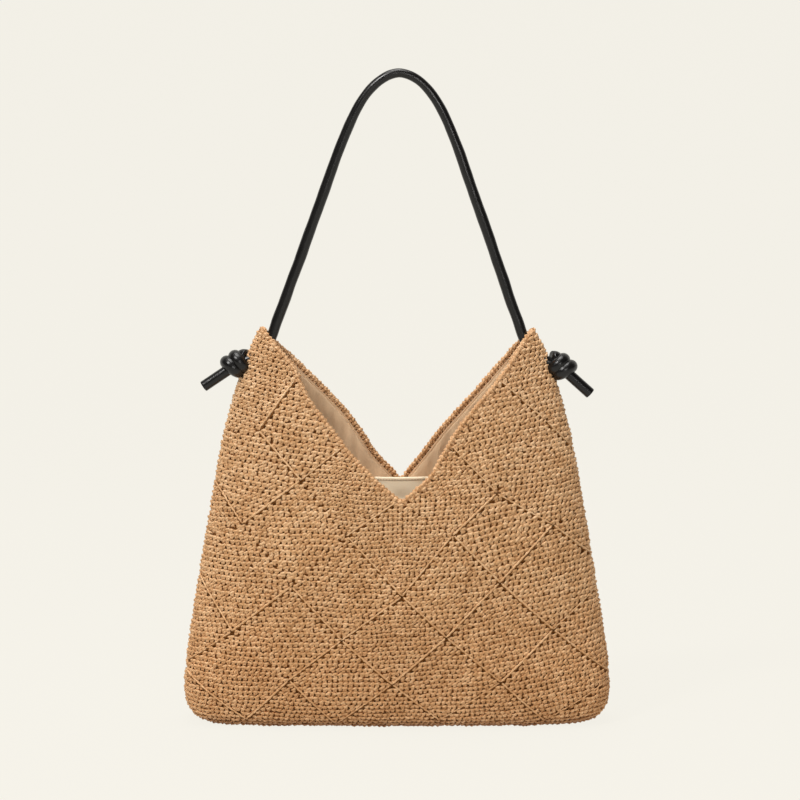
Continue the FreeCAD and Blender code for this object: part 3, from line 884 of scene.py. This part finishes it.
def leather(name):
    """Smooth black-brown leather with a fine grain, faint creases and rubbed highlights."""
    n = Nodes(name)
    place = n.place()
    strand = n.strand()
    grain = n.node("ShaderNodeTexVoronoi", {"Vector": place, "Scale": 1500.0}, feature="SMOOTH_F1").outputs["Distance"]
    pores = n.noise(place, 2400.0, 2.0, 0.6)
    crease = n.noise(n.scaled(strand, (1.4, 0.22, 1.0)), 1.0, 4.0, 0.6)
    wear = n.noise(place, 45.0, 4.0, 0.6)
    colour = n.ramp(wear, [(0.30, (0.0018, 0.0015, 0.0014)), (0.72, (0.0038, 0.0032, 0.0030))])
    n.put("Base Color", colour)
    n.put("Roughness", n.math("MULTIPLY_ADD", wear, 0.14, 0.22))
    height = n.math("ADD", n.math("MULTIPLY", grain, 0.6), n.math("MULTIPLY", pores, 0.35))
    first = n.bump(crease, 0.22, 0.0006)
    n.put("Normal", n.bump(height, 0.14, 0.00025, first))
    n.put("Specular IOR Level", 0.40)
    return n.material


def steel(name):
    """Brushed steel."""
    n = Nodes(name)
    place = n.place()
    scratch = n.noise(n.scaled(place, (1.0, 60.0, 1.0)), 400.0, 2.0, 0.6)
    n.put("Base Color", n.ramp(scratch, [(0.3, (0.42, 0.41, 0.40)), (0.7, (0.60, 0.59, 0.57))]))
    n.put("Roughness", n.math("MULTIPLY_ADD", scratch, 0.2, 0.28))
    n.put("Metallic", 1.0)
    return n.material


def painted_hole_shade(name):
    """Painted shade: raffia brown darkened to stand for the shade in the holes between the stitches and in the creases
    of the joins.
    """
    n = Nodes(name)
    place = n.place()
    weave = n.noise(place, 420.0, 3.0, 0.6)
    n.put("Base Color", n.ramp(weave, [(0.3, (0.12, 0.042, 0.009)), (0.7, (0.25, 0.105, 0.030))]))
    n.put("Normal", n.bump(weave, 0.6, 0.0006))
    n.put("Roughness", 0.85)
    n.put("Specular IOR Level", 0.1)
    return n.material


RAFFIA = raffia("Raffia", (0.38, 0.176, 0.056), (0.60, 0.360, 0.180), (0.88, 0.64, 0.41))
EDGE_YARN = raffia("Edging raffia", (0.36, 0.156, 0.050), (0.57, 0.325, 0.155), (0.85, 0.59, 0.36))
# Painted shade: a dark raffia brown for the sheets under the stitches and the strands in the joins' creases.
HOLE_SHADE = painted_hole_shade("Painted shade in the stitch holes")
CANVAS = canvas("Lining canvas", (0.60, 0.395, 0.230), (0.80, 0.575, 0.365))
# Painted light: the pocket's canvas is a much brighter copy of the lining canvas, standing in for light that the
# shaded pocket inside the bag does not get.
PAINTED_LIGHT_POCKET_CANVAS = canvas("Pocket canvas with painted light", (0.97, 0.80, 0.55), (0.99, 0.88, 0.68))
BINDING = canvas("Binding tape", (0.56, 0.34, 0.18), (0.74, 0.50, 0.30), 0.5)
LEATHER = leather("Strap leather")
THREAD = canvas("Sewing thread", (0.30, 0.18, 0.10), (0.44, 0.29, 0.17), 0.2)
STEEL = steel("Snap steel")

# ---------------------------------------------------------------- crocheted panels

SIDE_NAMES = {-1: "front", 1: "back"}
# Tilt of the rows in degrees, left and right, and the size of the stitches, left and right.
WORK = {
    "row1_middle": (0, 0, 0.92, 0.92), "row1_inner": (-2, 6, 0.95, 0.93), "row1_outer": (-3, 8, 0.95, 0.95),
    "row2_inner": (1, 3, 0.98, 0.95), "row2_outer": (-3, 9, 0.98, 0.97), "row3_middle": (2, 2, 0.90, 0.90),
    "row3_inner": (0, 8, 1.00, 0.98), "row3_outer": (2, 7, 1.00, 1.00), "row4_inner": (-3, 3, 1.00, 1.03),
    "row4_outer": (-2, 9, 1.04, 1.04), "row5_middle": (2, 2, 0.86, 0.86), "row5_inner": (1, 12, 1.08, 1.14),
    "row5_outer": (3, 6, 0.98, 0.96), "row6_inner": (-3, 4, 0.88, 0.95), "row6_outer": (-6, 8, 1.07, 1.00),
    "row7": (-10, 12, 1.14, 1.02), "tips": (-12, 10, 0.98, 1.00),
}

for side, panel in SIDE_NAMES.items():
    regions = []
    for row, column, place in SQUARES:
        hands = (1,) if column == 0 else (-1, 1)
        outlines = [square_polygon(row, hand * column, side) for hand in hands]
        regions.append((place, outlines, [square_corners(row, hand * column) for hand in hands]))
    regions.append(("tips", [tip_polygon(hand, side) for hand in (-1, 1)], [tip_corners(hand) for hand in (-1, 1)]))
    crease_shade_strands = Strands()
    for place, polygons, corners in regions:
        strands = Strands()
        left_tilt, right_tilt, left_scale, right_scale = WORK[place]
        for k, polygon in enumerate(polygons):
            degrees = (left_tilt, right_tilt)[k] + rng.normal(0, 1.0)
            scale = (left_scale, right_scale)[k]
            ends = corners[k] + corners[k][:1]
            strengths = [join_strength(*pair, side) for pair in zip(ends, ends[1:])]
            stitch_region(strands, polygon, strengths, side, math.radians(degrees), scale)
            for a, b, strength in zip(polygon, np.roll(polygon, -1, 0), strengths):
                if strength == 0.0:
                    continue
                if is_above(polygon, a, b):
                    seam_strand(strands, a, b, polygon, side, 0.52 + 0.45 * strength, -1.2 + 1.2 * strength, 0.95)
                else:
                    # A dark strand of painted shade along the join's crease.
                    seam_strand(crease_shade_strands, a, b, polygon, side, 0.40 + 0.42 * strength, -1.35 + 0.45 * strength, 0.5)
        node = f"{panel}_tips" if place == "tips" else f"{panel}_squares_{place}"
        strands.keep_above(LOWEST)
        piece = strands.build(f"crochet_{node}", RAFFIA)
        on_bag(piece, "raffia", node)

    # The crease strands take the dark hole material: painted shade in the joins.
    piece = crease_shade_strands.build(f"crochet_{panel}_creases", HOLE_SHADE)
    on_bag(piece, "raffia")

    edging = mouth_edging(side)
    piece = edging.build(f"crochet_{panel}_mouth_edging", EDGE_YARN)
    on_bag(piece, "raffia_edging", f"{panel}_mouth_edging")

    # A dark sheet under the stitches: painted shade that shows in the holes between them.
    s, t = panel_grid(side, 150, 110, 0.0, 0.9)
    verts, faces = slab(surface(s, t, side, -2.75), surface(s, t, side, -WALL + 0.9))
    verts[:, 2] = np.maximum(verts[:, 2], 0.8)
    if side > 0:
        faces = faces[:, ::-1]
    piece = new_object(f"crochet_{panel}_hole_shade", verts, faces, HOLE_SHADE)
    on_bag(piece, "raffia")

# ---------------------------------------------------------------- sole

SOLE_WIDTH = 166.5
SOLE_DEPTH = 26.5
SOLE_POWER = float(squareness(0.0))
strands = Strands()
spots = []
y = -SOLE_DEPTH + 2.6
while y < SOLE_DEPTH - 1.5:
    span = SOLE_WIDTH * (1 - abs(y / SOLE_DEPTH) ** SOLE_POWER) ** (1 / SOLE_POWER) - 1.5
    number = max(1, int(round(2 * span / STITCH_WIDTH)))
    width = 2 * span / number
    for k in range(number):
        spots.append((-span + width * (k + 0.5), y, width))
    y += STITCH_HEIGHT
spots = np.array(spots)
p = np.stack([spots[:, 0], spots[:, 1] + rng.normal(0, 0.15, len(spots)), np.full(len(spots), 2.0)], 1)
one = np.ones((len(spots), 1))
place_stitches(
    strands, p, one * (1, 0, 0), one * (0, -1, 0), one * (0, 0, -1), spots[:, 2] / STITCH_WIDTH * 1.02, 1.04
)
strands.keep_above(LOWEST)
piece = strands.build("crochet_sole", RAFFIA)
on_bag(piece, "raffia", "sole_panel")


def oval_slab(width, depth, low, high, name, material):
    """A thin closed oval sheet."""
    rings, turns = 10, 120
    f = np.linspace(0.002, 1, rings)
    turn = np.linspace(0, 2 * math.pi, turns, endpoint=False)
    unit_x, unit_y = oval(turn, 0.0)
    x = width * f[:, None] * unit_y[None]
    y = depth * f[:, None] * unit_x[None]
    top = np.stack([x, y, np.full_like(x, high)], -1)
    bottom = np.stack([x, y, np.full_like(x, low)], -1)
    number = rings * turns
    index = np.arange(number).reshape(rings, turns)
    a, b = index[:-1], index[1:]
    quads = np.stack([a, b, np.roll(b, -1, 1), np.roll(a, -1, 1)], -1).reshape(-1, 4)
    rim = index[-1]
    around = np.stack([rim, rim + number, np.roll(rim, -1) + number, np.roll(rim, -1)], -1)
    hub = index[0]
    hub_quads = np.array([(hub[0], hub[k], hub[k + 1], hub[k + 2]) for k in range(1, turns - 2, 2)])
    faces = np.concatenate([quads, quads[:, ::-1] + number, around, hub_quads, hub_quads[:, ::-1] + number])
    verts = np.concatenate([top.reshape(-1, 3), bottom.reshape(-1, 3)])
    return new_object(name, verts, faces, material, uv=verts[:, :2])


# A dark sheet behind the sole's stitches: painted shade in the holes between them.
on_bag(oval_slab(166.0, 26.0, 2.6, 4.0, "crochet_sole_hole_shade", HOLE_SHADE), "raffia")
FLOOR_WIDTH, FLOOR_DEPTH = 174.5, 30.0
floor_piece = oval_slab(FLOOR_WIDTH, FLOOR_DEPTH, 5.0, 6.0, "lining_floor", CANVAS)
on_bag(floor_piece, "canvas", "sole_lining")
# Area of the oval the floor is cut to, from its two half axes and its exponent.
floor_area = 4 * FLOOR_WIDTH * FLOOR_DEPTH * MM**2
floor_area *= math.gamma(1 + 1 / SOLE_POWER) ** 2 / math.gamma(1 + 2 / SOLE_POWER)

# ---------------------------------------------------------------- lining and its binding


SETTLING_FRAMES = 18
SLACK = 0.03  # share by which the cloth is larger than its place
MOST_SAG = 4.0
LINING_INSET = WALL + 0.5


def settle(rest, pinned, slack):
    """Lets a grid of cloth hang: its pinned points stay, the rest sags and buckles. Millimetres in and out."""
    columns, rows = rest.shape[:2]
    index = np.arange(columns * rows).reshape(columns, rows)
    quads = np.stack([index[:-1, :-1], index[1:, :-1], index[1:, 1:], index[:-1, 1:]], -1).reshape(-1, 4)
    cloth = new_object("settling_cloth", rest.reshape(-1, 3), quads, CANVAS)
    group = cloth.vertex_groups.new(name="sewn")
    for k in np.flatnonzero(pinned.ravel()):
        group.add([int(k)], 1.0, "REPLACE")
    settings = cloth.modifiers.new("Cloth", "CLOTH").settings
    settings.quality = 6
    settings.mass = 0.2
    settings.vertex_group_mass = "sewn"
    settings.tension_stiffness = 6.0
    settings.compression_stiffness = 6.0
    settings.shear_stiffness = 1.0
    settings.bending_stiffness = 0.3
    settings.shrink_min = -slack
    scene = bpy.context.scene
    before = scene.frame_current
    for k in range(1, SETTLING_FRAMES + 1):
        scene.frame_set(k)
    depsgraph = bpy.context.evaluated_depsgraph_get()
    shaped = cloth.evaluated_get(depsgraph).to_mesh()
    out = np.empty(len(shaped.vertices) * 3)
    shaped.vertices.foreach_get("co", out)
    cloth.evaluated_get(depsgraph).to_mesh_clear()
    mesh = cloth.data
    bpy.data.objects.remove(cloth)
    bpy.data.meshes.remove(mesh)
    scene.frame_set(before)
    return out.reshape(columns, rows, 3) / MM


def lining_cut(s, t, inset):
    """Width, length and area in metres that a panel's lining is cut to, from its outline laid flat.

    A section an inset further in is shorter by the inset times the angle that it turns through.
    """
    across, up = (np.concatenate([g[:, 0], g[-1, 1:], g[-2::-1, -1], g[0, -2:0:-1]]) for g in (s, t))
    across = across * (1 - inset * math.pi / 2 / quarter_at(height_at(up)))
    area = abs(np.dot(across, np.roll(up, -1)) - np.dot(up, np.roll(across, -1))) / 2
    return float(np.ptp(across)) * MM, float(np.ptp(up)) * MM, float(area) * MM**2


def finer(grid, columns, rows):
    """A grid of points at a higher resolution."""
    a, b = grid.shape[:2]
    u = np.linspace(0, a - 1, columns)
    v = np.linspace(0, b - 1, rows)
    k = np.clip(u.astype(int), 0, a - 2)
    f = (u - k)[:, None, None]
    mid = grid[k] * (1 - f) + grid[k + 1] * f
    j = np.clip(v.astype(int), 0, b - 2)
    g = (v - j)[None, :, None]
    return mid[:, j] * (1 - g) + mid[:, j + 1] * g


for side, panel in SIDE_NAMES.items():
    s, t = panel_grid(side, 180, 120, 5.5, EDGING + 1.2)
    outer = surface(s, t, side, -LINING_INSET)
    inward = surface(s, t, side, -(LINING_INSET + 1)) - outer
    coarse = outer[::3, ::3]
    pinned = np.zeros(coarse.shape[:2], bool)
    pinned[[0, -1]] = True
    pinned[:, [0, -1]] = True
    hung = settle(coarse, pinned, SLACK)
    moved = ((hung - coarse) * inward[::3, ::3]).sum(-1, keepdims=True)
    moved = finer(np.abs(moved), 180, 120)
    outer = outer + inward * np.minimum(moved, MOST_SAG)
    verts, faces = slab(outer, outer + inward * 0.9)
    verts[:, 2] = np.maximum(verts[:, 2], 6.2)
    if side > 0:
        faces = faces[:, ::-1]
    uv = np.stack([s, t], -1).reshape(-1, 2)
    piece = new_object(f"lining_{panel}", verts, faces, CANVAS, uv=np.concatenate([uv, uv]))
    on_bag(piece, "canvas", f"{panel}_lining")
    width, length, area = lining_cut(s, t, LINING_INSET)

    line = MOUTHS[side]
    path, tangent = resample(line, 1.5)
    down = np.stack([tangent[:, 1], -tangent[:, 0]], 1)
    fabric = to_fabric(path + down * (EDGING + 0.3))
    p, ds, dt, n = frames(fabric[:, 0], fabric[:, 1], side)
    p = p - n * (WALL + 0.35)
    rings, uv = sweep(p, 1.35, n, sides=10, flat=0.62)
    piece = tube_piece(f"binding_{panel}", rings, uv, BINDING)
    on_bag(piece, "piping", f"{panel}_piping")

# ---------------------------------------------------------------- slip pocket

POCKET_FACE = 27.0
POCKET_TOP = 221.0
POCKET_LOW = 60.6
HEM = 2.8


def pocket_edge(z):
    """Half width of the pocket where it is sewn to the lining at a height."""
    n = squareness(z)
    room = 1 - ((POCKET_FACE + 1.0) / (half_depth(z) - 6.6)) ** n
    return np.minimum(99.5, (half_width(z) - 6.6) * np.clip(room, 0.01, 1) ** (1 / n))


def pocket_points(f, z, lift):
    """Points of the pocket's cloth: f from -1 to 1 across; lift is towards the front."""
    x = f * pocket_edge(z)
    slack = np.cos(f * math.pi / 2) ** 2
    top = np.clip((z - 150) / 70, 0, 1)
    y = POCKET_FACE - slack * (1.2 + 2.4 * top) + 0.7 * np.sin(f * 9 + z * 0.05) * slack
    dimple = np.exp(-((x - 4) ** 2 + (z - 201) ** 2) / 60.0)
    y = y + 2.2 * dimple
    sag = 0.8 * slack * top
    return np.stack([x, y - lift, z - sag], -1)


f, z = np.meshgrid(np.linspace(-1, 1, 150), np.linspace(POCKET_LOW, POCKET_TOP - 0.4, 130), indexing="ij")
verts, faces = slab(pocket_points(f, z, 0.0), pocket_points(f, z, -0.8))
uv = np.stack([f * 99, z], -1).reshape(-1, 2)
# The pocket's cloth, hem and fold take the canvas brightened with painted light.
piece = new_object("pocket_cloth", verts, faces, PAINTED_LIGHT_POCKET_CANVAS, uv=np.concatenate([uv, uv]))
on_bag(piece, "canvas", "pocket_panel")

f, z = np.meshgrid(np.linspace(-1, 1, 150), np.linspace(POCKET_TOP - HEM, POCKET_TOP, 12), indexing="ij")
roll = 0.55 * np.sin((z - POCKET_TOP + HEM) / HEM * math.pi) ** 0.5
verts, faces = slab(pocket_points(f, z, 0.15 + roll), pocket_points(f, z, -0.95 - 0.3 * roll))
uv = np.stack([f * 99, z], -1).reshape(-1, 2)
hem = new_object("pocket_hem", verts, faces, PAINTED_LIGHT_POCKET_CANVAS, uv=np.concatenate([uv, uv]))
on_bag(hem, "canvas", "pocket_hem")


def running_stitches(path, normal, pitch, length, radius):
    """Sewing stitches along a path: short threads that dip into the cloth at their ends."""
    strands = Strands()
    at = path_lengths(path)
    start = 0.5
    while start + length < at[-1]:
        where = start + np.linspace(0, length, 5)
        points = np.stack([np.interp(where, at, path[:, k]) for k in range(3)], 1)
        up = np.stack([np.interp(where, at, normal[:, k]) for k in range(3)], 1)
        points = points + up * np.array([-0.25, 0.12, 0.2, 0.12, -0.25])[:, None]
        rings, uv = sweep(points, radius * np.array([0.6, 1, 1, 1, 0.6]), up)
        strands.add(rings, tube_faces(5), uv)
        start += pitch
    return strands


f = np.linspace(-0.97, 0.97, 300)
z = np.full(300, POCKET_TOP - HEM + 0.4)
path = pocket_points(f, z, 0.55)
piece = running_stitches(path, np.tile((0, -1.0, 0), (300, 1)), 2.6, 2.0, 0.24).build("pocket_hem_stitching", THREAD)
on_bag(piece, "canvas")

f, y = np.meshgrid(np.linspace(-1, 1, 80), np.linspace(0, 1, 8), indexing="ij")
edge = pocket_edge(POCKET_LOW)
x = f * edge
near = POCKET_FACE + 0.6
far = (half_depth(POCKET_LOW) - 6.8) * np.sqrt(1 - (x / (half_width(POCKET_LOW) - 6.6)) ** 2)
y = near + (far - near) * y
verts, faces = slab(
    np.stack([x, y, np.full_like(x, POCKET_LOW + 0.6)], -1), np.stack([x, y, np.full_like(x, POCKET_LOW)], -1)
)
piece = new_object("pocket_fold", verts, faces, PAINTED_LIGHT_POCKET_CANVAS, uv=verts[:, :2])
on_bag(piece, "canvas", "pocket_fold")

for node in ("front_snap_disc", "pocket_snap_disc"):
    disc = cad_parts[node]
    for slot in disc.material_slots:
        slot.material = STEEL

# ---------------------------------------------------------------- strap, knots and tails


STRAP_RADIUS = 4.6
KNOT_RADIUS = 6.2
TAIL_RADIUS = 5.0
STRAP_SIDES = 24


def smooth_path(points, step):
    """Even points along a smooth curve through 3-D points."""
    points = np.asarray(points, float)
    knots = path_lengths(points)
    at = np.linspace(0, knots[-1], int(knots[-1] / step) + 1)
    return np.stack([smooth_table(knots, points[:, k], at) for k in range(3)], 1)


def carried_tube(points, radii, flat=1.0):
    """Rings carried along a path without twisting."""
    sides = STRAP_SIDES
    along = np.gradient(points, axis=0)
    along /= np.linalg.norm(along, axis=1, keepdims=True)
    out = np.array([0.0, -1.0, 0.0])
    outs = []
    for direction in along:
        out = out - direction * out.dot(direction)
        out /= np.linalg.norm(out)
        outs.append(out)
    outs = np.array(outs)
    across = np.cross(along, outs)
    turns = np.linspace(0, 2 * math.pi, sides, endpoint=False)
    radii = np.broadcast_to(radii, len(points)).reshape(-1, 1, 1)
    flat = np.broadcast_to(flat, len(points)).reshape(-1, 1, 1)
    rings = points[:, None] + across[:, None] * (np.cos(turns)[None, :, None] * radii)
    rings = rings + outs[:, None] * (np.sin(turns)[None, :, None] * radii * flat)
    return rings, strand_uv(points, sides, 20)


ARCH = [
    (-146.3, 325.5), (-136, 330), (-123, 337), (-114, 349), (-107.3, 367), (-100.7, 384), (-93.9, 403), (-86.9, 421),
    (-80.6, 439), (-74, 457), (-67.4, 475), (-58.5, 500), (-52.3, 517), (-45.6, 533.5), (-40.1, 546), (-35.4, 555.5),
    (-29.6, 565), (-22.8, 573.5), (-14.4, 580.8), (-6, 585.4), (2, 587), (10.4, 585.2), (18.7, 580.8), (26.4, 573.8),
    (33.1, 565.3), (38.8, 556), (43.8, 546), (49.1, 533.5), (55.6, 517), (61.4, 500), (70.1, 475), (76.6, 457),
    (83, 439), (89, 421), (95.4, 403), (101.6, 384), (108.1, 367), (114.6, 349), (123.5, 336.5), (136, 329),
    (149.1, 322.7),
]
arch_points = smooth_path([(x, 0.4 * math.sin(z * 0.05), z) for x, z in ARCH], 1.6)
along = path_lengths(arch_points)
half_way = along[-1] / 2
bow = np.exp(-(((along - half_way) / 45) ** 2))
slim = 1.05 - 0.16 * np.exp(-(((along - half_way) / 85) ** 2))
radii = STRAP_RADIUS * slim * (1 + 0.018 * np.sin(along * 0.11) + 0.012 * np.sin(along * 0.31 + 1))
rings, uv = carried_tube(arch_points, radii, 1 - 0.06 * bow)
strap = tube_piece("strap_tube", rings, uv, LEATHER)
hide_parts("strap_leather", "strap_core", "strap_end_leather", "strap_end_core")
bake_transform(strap)

for hand, sign, tail_down, knot_x, knot_z in (("left", -1, 34, 146.3, 325.5), ("right", 1, 42, 149.1, 322.7)):
    # Two wraps round the tail's own line, the first one coming out of the tip.
    down = math.radians(tail_down)
    tail = np.array([sign * math.cos(down), 0, -math.sin(down)])
    lift = np.array([sign * math.sin(down), 0, math.cos(down)])
    depth = np.array([0, -1.0, 0])
    centre = np.array([sign * knot_x, 0, knot_z])
    turns = np.linspace(-0.35, 2.2, 120)
    spread = np.interp(turns, [-0.35, 0.0, 0.25, 1.0, 1.9, 2.2], [1.5, 4.6, 6.0, 6.4, 6.5, 2.0])
    reach = np.interp(turns, [-0.35, 0.0, 1.0, 1.8, 2.2], [-14.0, -8.8, -4.2, 4.2, 3.4])
    swing = turns * 2 * math.pi + math.pi
    points = centre + tail * reach[:, None]
    points = points + lift * (np.sin(swing) * spread)[:, None] + depth * (np.cos(swing) * spread)[:, None]
    points = smooth_path(points[::6], 0.9)
    rings, uv = carried_tube(points, KNOT_RADIUS * (1 + 0.03 * np.sin(np.arange(len(points)) * 0.19)))
    piece = tube_piece(f"strap_knot_{hand}", rings, uv, LEATHER)
    on_bag(piece, "leather", f"{hand}_knot")

    reach = np.concatenate([np.linspace(2, 33.0, 30), [33.4, 33.6]])
    points = centre + tail * reach[:, None]
    swell = np.full(len(points), TAIL_RADIUS)
    swell[-2:] = TAIL_RADIUS * 0.97, TAIL_RADIUS * 0.88
    rings, uv = carried_tube(points, swell)
    piece = tube_piece(f"strap_tail_{hand}", rings, uv, LEATHER)
    on_bag(piece, "leather", f"{hand}_strap_tail")

# ---------------------------------------------------------------- stage, light and camera

BACKGROUND = (0.905, 0.880, 0.807)


def stage_material(name):
    """A lit sweep: mostly its own even light, so that the floor and the backdrop read as one tone."""
    n = Nodes(name)
    soft = n.noise(n.place(), 0.6, 2.0, 0.5)
    colour = n.ramp(soft, [(0.0, tuple(0.992 * c for c in BACKGROUND)), (1.0, BACKGROUND)])
    n.put("Emission Color", colour)
    n.put("Emission Strength", 0.972)
    n.put("Base Color", n.ramp(soft, [(0.0, (0.026, 0.025, 0.023)), (1.0, (0.030, 0.029, 0.027))]))
    n.put("Roughness", 0.95)
    n.put("Specular IOR Level", 0.0)
    return n.material


def cyclorama():
    """A floor that curves up into a backdrop."""
    profile = [(-6000, 0), (1500, 0)]
    radius = 2500
    for k in range(1, 25):
        a = math.radians(90 * k / 24)
        profile.append((1500 + radius * math.sin(a), radius * (1 - math.cos(a))))
    profile.append((1500 + radius, 9000))
    verts = []
    for x in (-9000, 9000):
        verts += [(x, y, z) for y, z in profile]
    count = len(profile)
    faces = [(k, k + count, k + count + 1, k + 1) for k in range(count - 1)]
    stage = new_object("floor", np.array(verts, float), np.array(faces), stage_material("Floor"))


cyclorama()


def facing(direction):
    """Rotation that turns a lamp's or the camera's -Z to a direction."""
    return Vector(direction).to_track_quat("-Z", "Y").to_euler()


def area_light(name, place, target, size, energy, colour):
    """A round soft light."""
    data = bpy.data.lights.new(name, "AREA")
    data.shape = "DISK"
    data.size = size
    data.energy = energy
    data.color = colour
    lamp = bpy.data.objects.new(name, data)
    lamp.location = place
    lamp.rotation_euler = facing(np.array(target) - np.array(place))
    bpy.context.scene.collection.objects.link(lamp)


area_light("key", (-1.35, -1.6, 2.3), (0, 0, 0.25), 0.55, 53, (1.0, 0.98, 0.955))
area_light("fill", (0.5, -2.3, 0.9), (0, 0, 0.25), 0.5, 11, (1.0, 0.98, 0.955))
area_light("top", (-0.15, -0.1, 2.5), (0, 0, 0.2), 1.5, 46, (1.0, 0.985, 0.96))

world = bpy.data.worlds.new("Studio")
world.use_nodes = True
world.node_tree.nodes["Background"].inputs["Color"].default_value = (1.0, 0.975, 0.93, 1)
world.node_tree.nodes["Background"].inputs["Strength"].default_value = 0.12
bpy.context.scene.world = world
bpy.context.scene.view_settings.view_transform = "Standard"
bpy.context.scene.view_settings.look = "None"

ELEVATION = math.radians(8)
DISTANCE = 2.5
TARGET = np.array([0.0027, 0, 0.2945])
camera_data = bpy.data.cameras.new("Camera")
camera_data.lens = 125
camera_data.sensor_width = 36
camera_data.clip_end = 40
camera = bpy.data.objects.new("Camera", camera_data)
camera.location = TARGET + DISTANCE * np.array([0, -math.cos(ELEVATION), math.sin(ELEVATION)])
camera.rotation_euler = facing(TARGET - np.array(camera.location))
bpy.context.scene.collection.objects.link(camera)
bpy.context.scene.camera = camera
